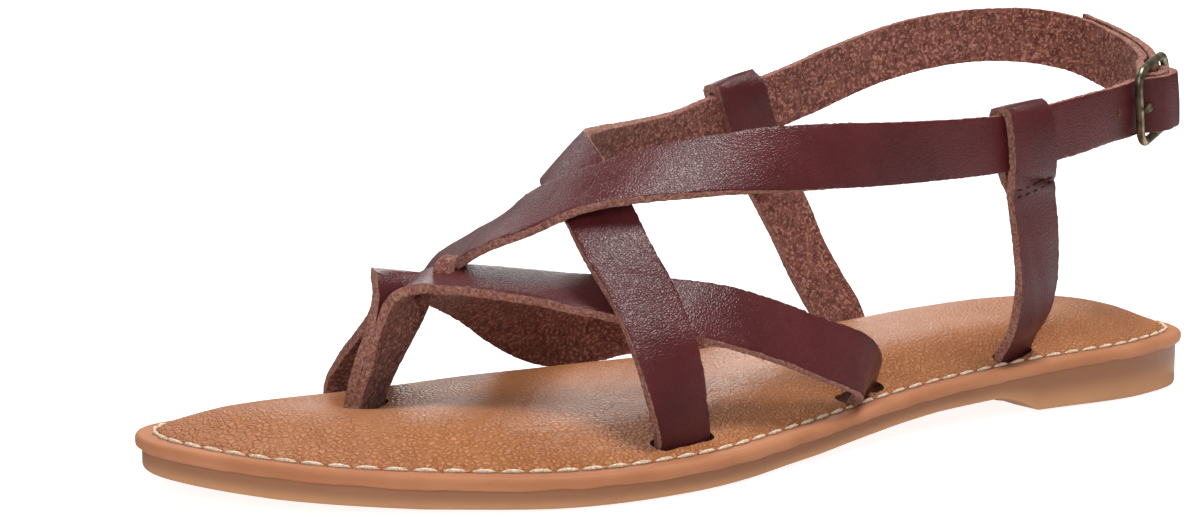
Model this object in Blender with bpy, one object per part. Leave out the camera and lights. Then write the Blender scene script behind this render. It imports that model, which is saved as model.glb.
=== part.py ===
"""Strappy flat sandal for the left foot, put together the way its maker does.

The sole is a stack of three pieces that share one outline: a gum outsole with a heel
block, a tan rim board and a padded insole.  The upper is a set of flat straps laid over
the last and joined where they cross.  Two keepers stand at the ankle, and a centre bar
buckle closes the long strap.

Frame: +X to the toe, +Y to the outer side of the foot, +Z up, floor at Z = 0.
"""
import math
from collections import namedtuple

import bmesh
import bpy
import numpy as np
from mathutils import Vector

MM = 0.001

# Sizes of the last, in millimetres
LENGTH = 250.0
BALL_WIDTH = 88.4
INSTEP_HEIGHT = 60.0
HEEL_HEIGHT = 13.0

# The tables below are drawn on a last of these sizes
DRAWN_LENGTH = 250.0
DRAWN_BALL = 88.4
DRAWN_INSTEP = 60.0
DRAWN_HEEL = 13.0

# Sizes of the leather and the sole, in millimetres
STRAP_WIDTH = 13.1
STRAP_THICK = 2.0
KEEPER_WIDTH = 12.4
RIM_THICK = 2.8
RECESS = 1.0
WELT = 3.6
PAD_CROWN = 4.3
GAP = 0.3
SEAT = 0.6
SLIT_REACH = 10.0
OUTSOLE_INSET = 1.2
WAIST_THICK = 3.2
STATIONS = 44

# Sizes of the buckle, in millimetres
FRAME_LONG = 20.6
FRAME_TALL = 18.8
WIRE = 2.2
BAR_WIRE = 2.0
PRONG_WIRE = 1.6
CORNER = 3.6
BUCKLE_TURN = -23.0
BUCKLE_CLIMB = 13.0

# Outline of the sole seen from above, from the heel round the outer side to the toe and back
Edge = namedtuple("Edge", "along across")
OUTLINE = [
    Edge(0.0, -0.6), Edge(6.7, 20.3), Edge(26.7, 28.0), Edge(62.4, 27.2), Edge(100.4, 29.6),
    Edge(135.1, 38.1), Edge(162.3, 44.2), Edge(189.1, 42.7), Edge(212.7, 31.2), Edge(233.2, 16.6),
    Edge(246.2, -0.6), Edge(250.0, -13.6), Edge(247.1, -24.3), Edge(231.3, -36.1), Edge(208.8, -42.4),
    Edge(182.2, -44.2), Edge(154.5, -41.0), Edge(119.5, -32.5), Edge(84.4, -32.6), Edge(49.1, -35.2),
    Edge(23.0, -32.5), Edge(5.1, -20.9),
]

# Side view of the sole: top of the rim and underside of the tread
Side = namedtuple("Side", "along top tread")
SIDE = [
    Side(0.0, 13.0, 0.0), Side(30.0, 12.2, 0.0), Side(60.0, 11.1, 0.0), Side(64.0, 10.9, 0.0),
    Side(70.0, 10.6, 2.6), Side(76.0, 10.3, 4.0), Side(90.0, 9.5, 3.4), Side(110.0, 8.2, 2.0),
    Side(130.0, 7.2, 0.9), Side(150.0, 6.5, 0.2), Side(165.0, 6.2, 0.0), Side(195.0, 6.2, 0.0),
    Side(215.0, 6.8, 0.45), Side(235.0, 8.3, 1.75), Side(250.0, 10.2, 3.3),
]

# Rise of the padded insole, measured inward from the outline of the sole
Pad = namedtuple("Pad", "inset rise")
PAD = [
    Pad(3.9, -0.05), Pad(4.7, 0.6), Pad(6.0, 1.4), Pad(8.0, 2.4), Pad(11.0, 3.4), Pad(15.0, 4.0),
    Pad(21.0, 4.3),
]

# Places a strap passes: along from the heel, across to the outer side, up from the floor.
# The smooth face looks to turn (0 outer, 90 toe, 180 inner, 270 heel) and tilt (90 is up).
Lay = namedtuple("Lay", "along across up turn tilt")

THONG_OUTER = [
    Lay(110.0, 24.4, 0.0, 0, 0), Lay(110.0, 25.1, 10.8, -2, -6), Lay(111.0, 28.2, 15.0, -7, 0),
    Lay(114.4, 31.2, 18.4, -12, 14), Lay(120.0, 32.7, 20.4, -12, 26), Lay(128.0, 33.2, 22.4, -8, 33),
    Lay(137.4, 33.0, 25.3, -3, 37),
    Lay(150.9, 32.0, 29.8, 3, 42), Lay(163.0, 27.9, 32.6, 8, 52), Lay(172.6, 18.9, 34.5, 10, 62),
    Lay(181.5, 3.5, 35.4, 12, 74), Lay(190.0, -5.6, 34.4, 60, 70), Lay(197.0, -9.6, 30.2, 120, 38),
    Lay(201.6, -10.8, 22.6, 148, 8), Lay(204.0, -11.2, 15.0, 150, 0), Lay(204.6, -11.4, 0.0, 150, 0),
]
THONG_INNER = [
    Lay(110.0, -26.2, 0.0, 180, 0), Lay(110.2, -27.2, 10.0, 184, -6), Lay(112.0, -31.0, 14.4, 192, 4),
    Lay(117.4, -34.4, 16.9, 194, 20), Lay(126.0, -36.0, 17.6, 188, 20), Lay(137.4, -36.2, 17.2, 183, 16),
    Lay(149.0, -34.2, 18.0, 177, 18), Lay(163.0, -28.6, 22.6, 170, 35), Lay(177.0, -18.6, 28.6, 160, 60),
    Lay(187.6, -8.6, 32.2, 120, 76),
]
LONG_FRONT = [
    Lay(196.6, -34.0, 0.0, 180, 0), Lay(196.6, -34.2, 10.6, 180, 4), Lay(197.0, -30.6, 18.0, 172, 26),
    Lay(197.2, -24.6, 25.4, 160, 44), Lay(196.6, -17.2, 31.2, 130, 60), Lay(193.4, -10.6, 35.0, 80, 68),
    Lay(187.2, -5.4, 38.2, 36, 72), Lay(179.4, 2.7, 45.4, 20, 68), Lay(172.3, 9.0, 51.2, 14, 62),
    Lay(163.5, 15.0, 54.6, 10, 47), Lay(148.6, 21.2, 57.4, 8, 22), Lay(128.5, 26.5, 58.9, 7, 8),
    Lay(103.5, 28.6, 58.4, 2, 3), Lay(69.6, 28.4, 59.2, 0, 2), Lay(56.6, 27.2, 61.0, -4, 2),
    Lay(41.0, 25.4, 63.4, -10, 0),
]
LONG_TAIL = [
    Lay(5.2, 4.6, 73.4, 296, 0), Lay(3.8, -5.4, 77.0, 274, 0), Lay(4.8, -14.8, 80.2, 252, 0),
]
CROSS_FRONT = [
    Lay(164.2, 36.2, 0.0, -8, 0), Lay(164.4, 36.6, 9.4, -8, 2), Lay(166.4, 37.9, 16.0, -5, 8),
    Lay(167.9, 36.3, 24.7, 8, 22), Lay(168.1, 29.6, 34.1, 15, 40), Lay(169.0, 21.8, 42.5, 24, 46),
    Lay(167.7, 12.6, 49.6, 40, 50), Lay(164.0, 2.6, 55.1, 76, 50), Lay(157.8, -8.2, 57.9, 110, 48),
    Lay(147.0, -19.4, 57.6, 138, 36), Lay(130.0, -29.6, 57.2, 160, 18), Lay(113.0, -34.4, 58.8, 172, 8),
    Lay(107.0, -35.2, 60.2, 176, 5), Lay(89.0, -36.2, 65.2, 179, 3), Lay(77.5, -36.2, 68.6, 181, 2),
    Lay(65.0, -36.0, 72.8, 183, 2), Lay(50.0, -35.0, 77.2, 188, 1), Lay(35.0, -32.0, 80.2, 198, 0),
    Lay(20.4, -27.6, 81.2, 212, 0), Lay(11.6, -22.4, 80.6, 230, 0), Lay(7.0, -14.2, 78.6, 252, 0),
    Lay(6.2, -5.4, 75.6, 274, 0), Lay(7.6, 3.4, 72.6, 296, 0),
]
KEEPER_OUTER = [
    Lay(62.8, 20.6, 0.0, -16, 0), Lay(62.8, 21.6, 13.8, -16, -6), Lay(62.9, 25.2, 19.0, -15, -12),
    Lay(63.6, 28.2, 27.4, -10, -8), Lay(65.0, 29.4, 38.0, -4, 0), Lay(67.4, 30.4, 49.0, -1, -2),
    Lay(68.6, 31.2, 54.6, -2, 0), Lay(69.8, 31.0, 66.2, -2, 0), Lay(70.0, 30.2, 68.1, 0, 45),
    Lay(70.1, 28.3, 68.9, 90, 82), Lay(70.0, 26.4, 68.1, 180, 45), Lay(69.8, 25.6, 66.2, 178, 0),
    Lay(68.6, 25.5, 55.0, 178, 0), Lay(68.0, 25.8, 51.4, 178, 2), Lay(67.4, 26.8, 47.4, 178, 4),
]
KEEPER_INNER = [
    Lay(65.4, -27.8, 0.0, 180, 0), Lay(65.4, -28.7, 14.8, 180, -6), Lay(67.4, -31.6, 20.2, 180, -10),
    Lay(72.6, -35.2, 27.0, 180, -6), Lay(79.0, -37.4, 37.6, 180, 0), Lay(85.8, -38.4, 49.0, 179, 0),
    Lay(90.6, -38.7, 57.0, 178, 1), Lay(93.6, -38.6, 63.0, 177, 2), Lay(95.8, -38.4, 70.2, 177, 3),
    Lay(96.4, -37.6, 72.2, 170, 45), Lay(96.7, -35.6, 73.1, 90, 74), Lay(96.4, -33.6, 72.2, 7, 45),
    Lay(95.8, -32.8, 70.2, -3, -3), Lay(93.4, -32.9, 61.8, -3, -3), Lay(90.6, -33.7, 55.4, -2, -2),
    Lay(88.2, -35.2, 50.6, 0, 0), Lay(86.8, -35.8, 48.0, 0, 0),
]

# Places a strap passes at the buckle: run from the middle bar to the heel, out from the frame
Pass = namedtuple("Pass", "run out")
LONG_AT_BUCKLE = [
    Pass(-9.4, -2.7), Pass(-7.3, -1.9), Pass(-4.9, 1.8), Pass(-2.7, 4.1), Pass(0.0, 4.8), Pass(2.7, 4.1),
    Pass(4.9, 1.8), Pass(7.3, -1.9), Pass(9.4, -2.7), Pass(13.0, -3.4),
]
FOLD_AT_BUCKLE = [Pass(13.0, -6.0), Pass(9.3, -5.8), Pass(4.4, -2.2), Pass(1.2, 2.0)]
BUCKLE_AT = Lay(20.1, 21.0, 67.3, BUCKLE_TURN, 0)

Colour = namedtuple("Colour", "red green blue rough metal")
COLOURS = {
    "gum": Colour(0.30, 0.14, 0.06, 0.45, 0.0),
    "tan_sheet": Colour(0.46, 0.19, 0.07, 0.5, 0.0),
    "tan_leather": Colour(0.50, 0.22, 0.07, 0.55, 0.0),
    "maroon_leather": Colour(0.055, 0.013, 0.014, 0.4, 0.0),
    "brass": Colour(0.36, 0.27, 0.14, 0.4, 1.0),
}


# Helpers
def clear_scene():
    for thing in list(bpy.data.objects):
        bpy.data.objects.remove(thing, do_unlink=True)


def material(name):
    look = COLOURS[name]
    made = bpy.data.materials.get(name) or bpy.data.materials.new(name)
    made.use_nodes = True
    shader = made.node_tree.nodes["Principled BSDF"]
    shader.inputs["Base Color"].default_value = (look.red, look.green, look.blue, 1.0)
    shader.inputs["Roughness"].default_value = look.rough
    shader.inputs["Metallic"].default_value = look.metal
    made.diffuse_color = (look.red, look.green, look.blue, 1.0)
    return made


def solid(name, points, faces, colour):
    mesh = bpy.data.meshes.new(name)
    mesh.from_pydata([tuple(float(v) * MM for v in p) for p in points], [], faces)
    shape = bmesh.new()
    shape.from_mesh(mesh)
    bmesh.ops.remove_doubles(shape, verts=shape.verts, dist=0.00001)
    bmesh.ops.recalc_face_normals(shape, faces=shape.faces)
    shape.to_mesh(mesh)
    shape.free()
    thing = bpy.data.objects.new(name, mesh)
    bpy.context.scene.collection.objects.link(thing)
    thing.data.materials.append(material(colour))
    return thing


def boolean(thing, other, operation):
    cut = thing.modifiers.new(operation.lower() + "_" + other.name, "BOOLEAN")
    cut.operation = operation
    cut.solver = "EXACT"
    cut.object = other
    other.hide_render = True
    other.display_type = "WIRE"
    return cut


def hermite(knots, rows, steps):
    """Smooth curve through rows, with a value at every knot and steps places between knots."""
    rows = np.asarray(rows, float)
    slope = np.empty_like(rows)
    chord = (rows[1:] - rows[:-1]) / (knots[1:] - knots[:-1])[:, None]
    slope[0] = chord[0]
    slope[-1] = chord[-1]
    for i in range(1, len(rows) - 1):
        before = knots[i] - knots[i - 1]
        after = knots[i + 1] - knots[i]
        slope[i] = (chord[i - 1] * after + chord[i] * before) / (before + after)
    curve = []
    for i in range(len(rows) - 1):
        span = knots[i + 1] - knots[i]
        for u in np.arange(steps) / steps:
            curve.append(
                (2 * u ** 3 - 3 * u ** 2 + 1) * rows[i] + (u ** 3 - 2 * u ** 2 + u) * span * slope[i]
                + (3 * u ** 2 - 2 * u ** 3) * rows[i + 1] + (u ** 3 - u ** 2) * span * slope[i + 1]
            )
    curve.append(rows[-1])
    return np.array(curve)


# The sole
def outline():
    """Closed outline of the sole as points from above, smooth through its table."""
    longer = LENGTH / DRAWN_LENGTH
    wider = BALL_WIDTH / DRAWN_BALL
    rows = np.array([(e.along * longer - LENGTH / 2, e.across * wider) for e in OUTLINE])
    wrap = 3
    around = np.vstack([rows[-wrap:], rows, rows[:wrap + 1]])
    step = np.linalg.norm(np.diff(around, axis=0), axis=1) ** 0.7
    knots = np.r_[0.0, np.cumsum(step)]
    curve = hermite(knots, around, 16)
    return curve[wrap * 16:-(wrap + 1) * 16 + 16][:-1]


def side_height(along_x, column):
    """Height of the rim top or the tread at a place along the sole."""
    along = [(s.along - DRAWN_LENGTH / 2) * LENGTH / DRAWN_LENGTH for s in SIDE]
    level = [getattr(s, column) * HEEL_HEIGHT / DRAWN_HEEL for s in SIDE]
    return np.interp(along_x, along, level)


def smooth_top(along_x):
    """Rim top eased over a span of the length, so that it has no kinks."""
    reach = np.linspace(-9.0, 9.0, 7)
    half = LENGTH / 2
    return np.mean([side_height(np.clip(along_x + r, -half, half), "top") for r in reach], axis=0)


OUTER_LINE = outline()


def inset_line(inset):
    """Outline moved inward by a distance; past 8 mm it is drawn in to its own middle."""
    near = min(inset, 8.0)
    ahead = np.roll(OUTER_LINE, -1, axis=0) - np.roll(OUTER_LINE, 1, axis=0)
    ahead /= np.linalg.norm(ahead, axis=1)[:, None]
    inward = np.c_[ahead[:, 1], -ahead[:, 0]]
    middle = OUTER_LINE.mean(axis=0)
    if np.sum((OUTER_LINE + inward - middle) ** 2) > np.sum((OUTER_LINE - inward - middle) ** 2):
        inward = -inward
    line = OUTER_LINE + inward * near
    if inset > near:
        keep = 1.0 - (inset - near) / 26.0
        centre = (line.max(axis=0) + line.min(axis=0)) / 2
        line = centre + (line - centre) * np.array([1.0 - (inset - near) / 100.0, keep])
    return line


def ring(inset):
    """Outline at an inset as equal stations: along, outer edge and inner edge."""
    line = inset_line(inset)
    toe = int(np.argmax(line[:, 0]))
    heel = int(np.argmin(line[:, 0]))
    line = np.roll(line, -heel, axis=0)
    toe = (toe - heel) % len(line)
    outer = line[:toe + 1]
    inner = np.vstack([line[toe:], line[:1]])[::-1]
    reach = np.linspace(0.0, math.pi, STATIONS + 1)
    along = line[0, 0] + (line[toe, 0] - line[0, 0]) * (1.0 - np.cos(reach)) / 2.0
    one = np.interp(along, outer[:, 0], outer[:, 1])
    two = np.interp(along, inner[:, 0], inner[:, 1])
    return along, np.maximum(one, two), np.minimum(one, two)


def ring_points(inset, lift):
    along, outer, inner = ring(inset)
    up = smooth_top(along) + lift
    side_a = np.c_[along, outer, up]
    side_b = np.c_[along, inner, up][1:-1][::-1]
    return np.vstack([side_a, side_b])


def stacked(name, levels, colour):
    """Closed body from a stack of rings, with a strip of faces across its first and last ring."""
    points = []
    faces = []
    for inset, lift in levels:
        points.extend(ring_points(inset, lift))
    count = 2 * STATIONS
    for k in range(len(levels) - 1):
        for i in range(count):
            j = (i + 1) % count
            faces.append((k * count + i, k * count + j, (k + 1) * count + j, (k + 1) * count + i))
    for base in (0, (len(levels) - 1) * count):
        for i in range(STATIONS):
            a = base + i
            b = base + i + 1
            c = base + (count - i - 1) % count
            d = base + (count - i) % count
            faces.append((a, b, d) if b == c else ((a, b, c) if a == d else (a, b, c, d)))
    return solid(name, points, faces, colour)


def make_outsole():
    """Tread lofted from heel to toe, with the heel block and the raised waist in its side view."""
    along, outer, inner = ring(OUTSOLE_INSET)
    breast = (np.array([s.along for s in SIDE[2:7]]) - DRAWN_LENGTH / 2) * LENGTH / DRAWN_LENGTH
    places = np.unique(np.round(np.r_[along[1:-1], breast], 4))
    keep = [places[0]]
    for place in places[1:]:
        if place - keep[-1] > 0.25:
            keep.append(place)
    places = np.array(keep)
    wide_outer = np.interp(places, along, outer)
    wide_inner = np.interp(places, along, inner)
    top = smooth_top(places) - RIM_THICK - GAP
    tread = side_height(places, "tread")
    soft = np.minimum(0.8, (wide_outer - wide_inner) / 5.0)
    points = []
    for i, place in enumerate(places):
        points += [
            (place, wide_outer[i], top[i]), (place, wide_outer[i], tread[i] + soft[i]),
            (place, wide_outer[i] - soft[i], tread[i]), (place, wide_inner[i] + soft[i], tread[i]),
            (place, wide_inner[i], tread[i] + soft[i]), (place, wide_inner[i], top[i]),
        ]
    sides = 6
    faces = []
    for i in range(len(places) - 1):
        for k in range(sides):
            m = (k + 1) % sides
            faces.append((i * sides + k, i * sides + m, (i + 1) * sides + m, (i + 1) * sides + k))
    last = (len(places) - 1) * sides
    faces.append(tuple(range(sides)))
    faces.append(tuple(last + k for k in range(sides)))
    return solid("outsole", points, faces, "gum")


def make_midsole():
    levels = [
        (1.3, -RIM_THICK), (0.35, -RIM_THICK + 0.3), (0.0, -RIM_THICK + 0.9), (0.0, -1.0), (0.4, -0.3),
        (1.2, 0.0), (WELT, 0.0), (WELT, -RECESS),
    ]
    return stacked("midsole", levels, "tan_sheet")


def make_insole():
    levels = [(PAD[0].inset, GAP - RECESS)] + [(p.inset, p.rise) for p in PAD]
    return stacked("insole", levels, "tan_leather")


# The straps
def facing(turn, tilt):
    t = math.radians(turn)
    e = math.radians(tilt)
    return (math.sin(t) * math.cos(e), math.cos(t) * math.cos(e), math.sin(e))


def laid(rows):
    """Rows of a strap table as place and facing; a height of 0 is the floor of the strap's slit."""
    out = []
    for r in rows:
        x = (r.along - DRAWN_LENGTH / 2) * LENGTH / DRAWN_LENGTH
        y = r.across * BALL_WIDTH / DRAWN_BALL
        z = r.up * INSTEP_HEIGHT / DRAWN_INSTEP
        if r.up == 0.0:
            z = float(smooth_top(np.array([x]))[0]) + GAP - RECESS + SEAT
        out.append((x, y, z) + facing(r.turn, r.tilt))
    return out


def buckle_axes():
    """Middle of the buckle with its run to the heel, its upright and the way out of its plane."""
    x, y, z = laid([BUCKLE_AT])[0][:3]
    out = np.array(facing(BUCKLE_TURN, 0))
    level = np.cross(out, (0.0, 0.0, 1.0))
    level *= -1.0 if level[0] > 0 else 1.0
    climb = math.radians(BUCKLE_CLIMB)
    run = level * math.cos(climb) + np.array((0.0, 0.0, 1.0)) * math.sin(climb)
    upright = np.array((0.0, 0.0, 1.0)) * math.cos(climb) - level * math.sin(climb)
    return np.array((x, y, z)), run, upright, out


def at_buckle(rows):
    """Rows at the buckle as place and facing; the face follows the rise of the strap."""
    middle, run, upright, out = buckle_axes()
    rows = np.array(rows, float)
    slope = np.gradient(rows[:, 1], rows[:, 0])
    placed = []
    for (r, o), s in zip(rows, slope):
        place = middle + run * r + out * o
        face = out - run * s
        placed.append(tuple(place) + tuple(face / np.linalg.norm(face)))
    return placed


def strap_curve(rows, steps):
    """Smooth run of a strap through its rows, with its facing square to the run."""
    rows = np.array(rows, float)
    gap = np.linalg.norm(np.diff(rows[:, :3], axis=0), axis=1) ** 0.75
    curve = hermite(np.r_[0.0, np.cumsum(gap)], rows, steps)
    ahead = np.gradient(curve[:, :3], axis=0)
    ahead /= np.linalg.norm(ahead, axis=1)[:, None]
    side = np.cross(curve[:, 3:6], ahead)
    side /= np.linalg.norm(side, axis=1)[:, None]
    return np.hstack([curve[:, :3], np.cross(ahead, side)])


def ribbon(name, rows, width, colour, steps=5, flat_end=0.0, thickness=STRAP_THICK):
    """Flat strap of even thickness along its rows; flat_end slants its last cut."""
    curve = strap_curve(rows, steps)
    middle = curve[:, :3]
    face = curve[:, 3:6]
    ahead = np.gradient(middle, axis=0)
    ahead /= np.linalg.norm(ahead, axis=1)[:, None]
    side = np.cross(face, ahead)
    side /= np.linalg.norm(side, axis=1)[:, None]
    half = side * width / 2
    thick = face * thickness / 2
    to_end = np.r_[np.cumsum(np.linalg.norm(np.diff(middle, axis=0), axis=1)[::-1])[::-1], 0.0]
    slant = flat_end * np.clip(1.0 - to_end / (4.0 * abs(flat_end) + 0.01), 0.0, 1.0)
    points = []
    for i in range(len(middle)):
        skew = ahead[i] * slant[i]
        points += [
            middle[i] + half[i] + thick[i] + skew, middle[i] - half[i] + thick[i] - skew,
            middle[i] - half[i] - thick[i] - skew, middle[i] + half[i] - thick[i] + skew,
        ]
    faces = [(0, 1, 2, 3), tuple(len(points) - k for k in (1, 2, 3, 4))]
    for i in range(len(middle) - 1):
        for k in range(4):
            m = (k + 1) % 4
            faces.append((i * 4 + k, i * 4 + m, (i + 1) * 4 + m, (i + 1) * 4 + k))
    return solid(name, points, faces, colour)


def box(name, middle, along, across, up, sizes, colour):
    points = []
    for a in (-0.5, 0.5):
        for b in (-0.5, 0.5):
            for c in (-0.5, 0.5):
                points.append(
                    np.array(middle) + np.array(along) * a * sizes[0]
                    + np.array(across) * b * sizes[1] + np.array(up) * c * sizes[2]
                )
    faces = [(0, 1, 3, 2), (4, 6, 7, 5), (0, 4, 5, 1), (2, 3, 7, 6), (0, 2, 6, 4), (1, 5, 7, 3)]
    return solid(name, points, faces, colour)


def tube(name, path, radii, colour, closed=False, sides=8, level=None):
    """Round wire along a path; each place has its own radius."""
    path = np.array(path, float)
    count = len(path)
    points = []
    for i in range(count):
        if closed:
            ahead = path[(i + 1) % count] - path[i - 1]
        else:
            ahead = path[min(i + 1, count - 1)] - path[max(i - 1, 0)]
        ahead = ahead / np.linalg.norm(ahead)
        one = np.cross(level, ahead)
        one /= np.linalg.norm(one)
        two = np.cross(ahead, one)
        for k in range(sides):
            angle = 2 * math.pi * (k + 0.5) / sides
            points.append(path[i] + (one * math.cos(angle) + two * math.sin(angle)) * radii[i])
    faces = []
    for i in range(count if closed else count - 1):
        j = (i + 1) % count
        for k in range(sides):
            m = (k + 1) % sides
            faces.append((i * sides + k, i * sides + m, j * sides + m, j * sides + k))
    if not closed:
        faces.append(tuple(range(sides)))
        faces.append(tuple((count - 1) * sides + k for k in range(sides)))
    return solid(name, points, faces, colour)


def slit(name, rows, width):
    """Cutter for the slit that a strap end stands in: the strap's own first run with a gap all round."""
    curve = strap_curve(rows, 5)
    reach = np.r_[0.0, np.cumsum(np.linalg.norm(np.diff(curve[:, :3], axis=0), axis=1))]
    near = curve[reach < SLIT_REACH]
    foot = near[0].copy()
    foot[:3] -= (near[1, :3] - near[0, :3]) * 4.0 / np.linalg.norm(near[1, :3] - near[0, :3])
    rows = np.vstack([foot, near])
    return ribbon(name, rows, width + 2 * GAP, "tan_leather", steps=1, thickness=STRAP_THICK + 2 * GAP)


def joined(name, things):
    """Bodies that do not touch, gathered in one object so that one cut takes them all."""
    shape = bmesh.new()
    for thing in things:
        shape.from_mesh(thing.data)
    mesh = bpy.data.meshes.new(name)
    shape.to_mesh(mesh)
    shape.free()
    for thing in things:
        bpy.data.objects.remove(thing, do_unlink=True)
    both = bpy.data.objects.new(name, mesh)
    bpy.context.scene.collection.objects.link(both)
    both.data.materials.append(material("tan_leather"))
    return both


def fold_round_bar(radius):
    """Rows of the cross strap's end, turned round the middle bar and back along its inside."""
    middle, run, upright, out = buckle_axes()
    rows = []
    for degrees in (60, 105, 150, 195, 240, 285):
        a = math.radians(degrees)
        way = run * math.cos(a) + out * math.sin(a)
        rows.append(tuple(middle + way * radius) + tuple(way))
    for r, o in ((4.2, -5.0), (8.0, -9.0)):
        face = -out - run * 0.8
        rows.append(tuple(middle + run * r + out * o) + tuple(face / np.linalg.norm(face)))
    return rows


def make_upper():
    outer = ribbon("upper", laid(THONG_OUTER), STRAP_WIDTH, "maroon_leather")
    inner = ribbon("strap_thong_inner", laid(THONG_INNER), STRAP_WIDTH, "maroon_leather")
    long_rows = laid(LONG_FRONT) + at_buckle(LONG_AT_BUCKLE) + laid(LONG_TAIL)
    long_strap = ribbon("strap_long", long_rows, STRAP_WIDTH, "maroon_leather", flat_end=2.0)
    fold = fold_round_bar(BAR_WIRE / 2 + GAP + STRAP_THICK / 2)
    cross_rows = laid(CROSS_FRONT) + at_buckle(FOLD_AT_BUCKLE)[:3] + fold
    cross = ribbon("strap_cross", cross_rows, STRAP_WIDTH, "maroon_leather")
    boolean(outer, inner, "UNION")
    boolean(outer, cross, "UNION")
    boolean(outer, long_strap, "UNION")
    return outer


def make_buckle():
    middle, run, upright, out = buckle_axes()
    half_run = FRAME_LONG / 2 - WIRE / 2
    half_up = FRAME_TALL / 2 - WIRE / 2
    path = []
    for sign_run, sign_up, start in ((1, 1, 0), (-1, 1, 90), (-1, -1, 180), (1, -1, 270)):
        for degrees in (0, 30, 60, 90):
            a = math.radians(start + degrees)
            r = sign_run * (half_run - CORNER) + CORNER * math.cos(a)
            u = sign_up * (half_up - CORNER) + CORNER * math.sin(a)
            path.append(middle + run * r + upright * u)
    frame = tube("buckle_frame", path, [WIRE / 2] * len(path), "brass", closed=True, level=out)
    bar_path = [middle + upright * half_up * s for s in (-1.0, 1.0)]
    bar = tube("middle_bar", bar_path, [BAR_WIRE / 2] * 2, "brass", level=out)
    boolean(frame, bar, "UNION")
    reach = BAR_WIRE / 2 + GAP + PRONG_WIRE / 2
    eye = []
    for degrees in range(0, 360, 30):
        a = math.radians(degrees)
        eye.append(middle + (run * math.cos(a) + out * math.sin(a)) * reach)
    prong = tube("buckle_prong", eye, [PRONG_WIRE / 2] * len(eye), "brass", closed=True, level=upright)
    rest = WIRE / 2 + GAP + PRONG_WIRE / 2
    reach_rows = [(-reach + 0.4, 0.2), (-4.6, 0.9), (-half_run + 1.2, rest - 0.25), (-half_run - 1.3, rest)]
    tongue_path = [middle + run * r + out * o for r, o in reach_rows]
    tongue = tube("tongue", tongue_path, [PRONG_WIRE / 2] * 3 + [PRONG_WIRE / 3], "brass", level=upright)
    boolean(prong, tongue, "UNION")
    return frame, prong


def punch_for_prong(upper):
    """Slit in the folded end for the eye of the prong and the hole its tongue comes up through."""
    middle, run, upright, out = buckle_axes()
    wide = PRONG_WIRE + 2 * GAP
    eye = box("slit_for_eye", middle - run * 0.3, run, upright, out, (7.2, wide, 6.8), "brass")
    way = -run * 0.98 + out * 0.2
    way /= np.linalg.norm(way)
    side = np.cross(upright, way)
    place = middle - run * 4.9 + out * 0.95
    hole = box("hole_for_tongue", place, way, upright, side, (9.0, wide, wide), "brass")
    boolean(upper, joined("prong_cutter", [eye]), "DIFFERENCE")
    boolean(upper, hole, "DIFFERENCE")


def main():
    clear_scene()
    make_outsole()
    make_midsole()
    insole = make_insole()
    upper = make_upper()
    ribbon("keeper_outer", laid(KEEPER_OUTER), KEEPER_WIDTH, "maroon_leather")
    ribbon("keeper_inner", laid(KEEPER_INNER), KEEPER_WIDTH, "maroon_leather")
    make_buckle()
    punch_for_prong(upper)
    ends = [
        ("slit_a", THONG_OUTER, STRAP_WIDTH), ("slit_b", THONG_INNER, STRAP_WIDTH),
        ("slit_c", CROSS_FRONT, STRAP_WIDTH), ("slit_d", LONG_FRONT, STRAP_WIDTH),
        ("slit_e", KEEPER_OUTER, KEEPER_WIDTH), ("slit_f", KEEPER_INNER, KEEPER_WIDTH),
        ("slit_post", THONG_OUTER[::-1], STRAP_WIDTH),
    ]
    slits = [slit(name, laid(rows), width) for name, rows, width in ends]
    boolean(insole, joined("slit_cutter", slits), "DIFFERENCE")


main()
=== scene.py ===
# %% [markdown]
# # The looks of a flat strappy sandal
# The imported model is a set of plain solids: a sole in three layers, the straps, two keepers and a buckle.
# This lesson dresses them.  Each strap is laid again as a soft, cut piece of leather, the sole gets its
# smooth edges, its padding and its stitches, and the buckle gets its worn brass.
# All pieces share the frame of the solids: +X to the toe, +Y to the outer side, +Z up, in metres.

# %% Load the fixed frame
import math
from collections import namedtuple

import bmesh
import bpy
import numpy as np
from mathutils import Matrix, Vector


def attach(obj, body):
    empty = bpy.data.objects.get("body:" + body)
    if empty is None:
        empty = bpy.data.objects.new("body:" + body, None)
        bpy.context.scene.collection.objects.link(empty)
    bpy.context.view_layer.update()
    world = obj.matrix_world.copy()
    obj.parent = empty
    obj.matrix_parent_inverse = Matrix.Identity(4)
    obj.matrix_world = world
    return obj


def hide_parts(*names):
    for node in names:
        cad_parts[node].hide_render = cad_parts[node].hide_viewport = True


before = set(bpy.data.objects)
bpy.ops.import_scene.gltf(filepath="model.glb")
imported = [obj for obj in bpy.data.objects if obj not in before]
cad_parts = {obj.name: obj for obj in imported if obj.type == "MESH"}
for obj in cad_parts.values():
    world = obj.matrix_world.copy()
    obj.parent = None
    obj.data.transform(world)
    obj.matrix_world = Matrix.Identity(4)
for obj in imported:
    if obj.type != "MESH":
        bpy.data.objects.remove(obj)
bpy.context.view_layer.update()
MM = 0.001
scene = bpy.context.scene
print("nodes:", sorted(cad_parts))

# %% [markdown]
# ## The camera
# The photograph was taken from the outer side, a little in front of the ball of the foot and just above
# the straps.  A 60 mm lens on a 36 mm sensor gives the same perspective, so the camera is placed by two
# points: where it stands and what it looks at.

# %% Place the camera
CAMERA_STANDS = Vector((0.2558, 0.3306, 0.0891))
CAMERA_LOOKS_AT = Vector((0.0313, -0.00305, 0.0376))
CAMERA_LENS_MM = 60.0
CAMERA_SENSOR_MM = 36.0

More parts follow.
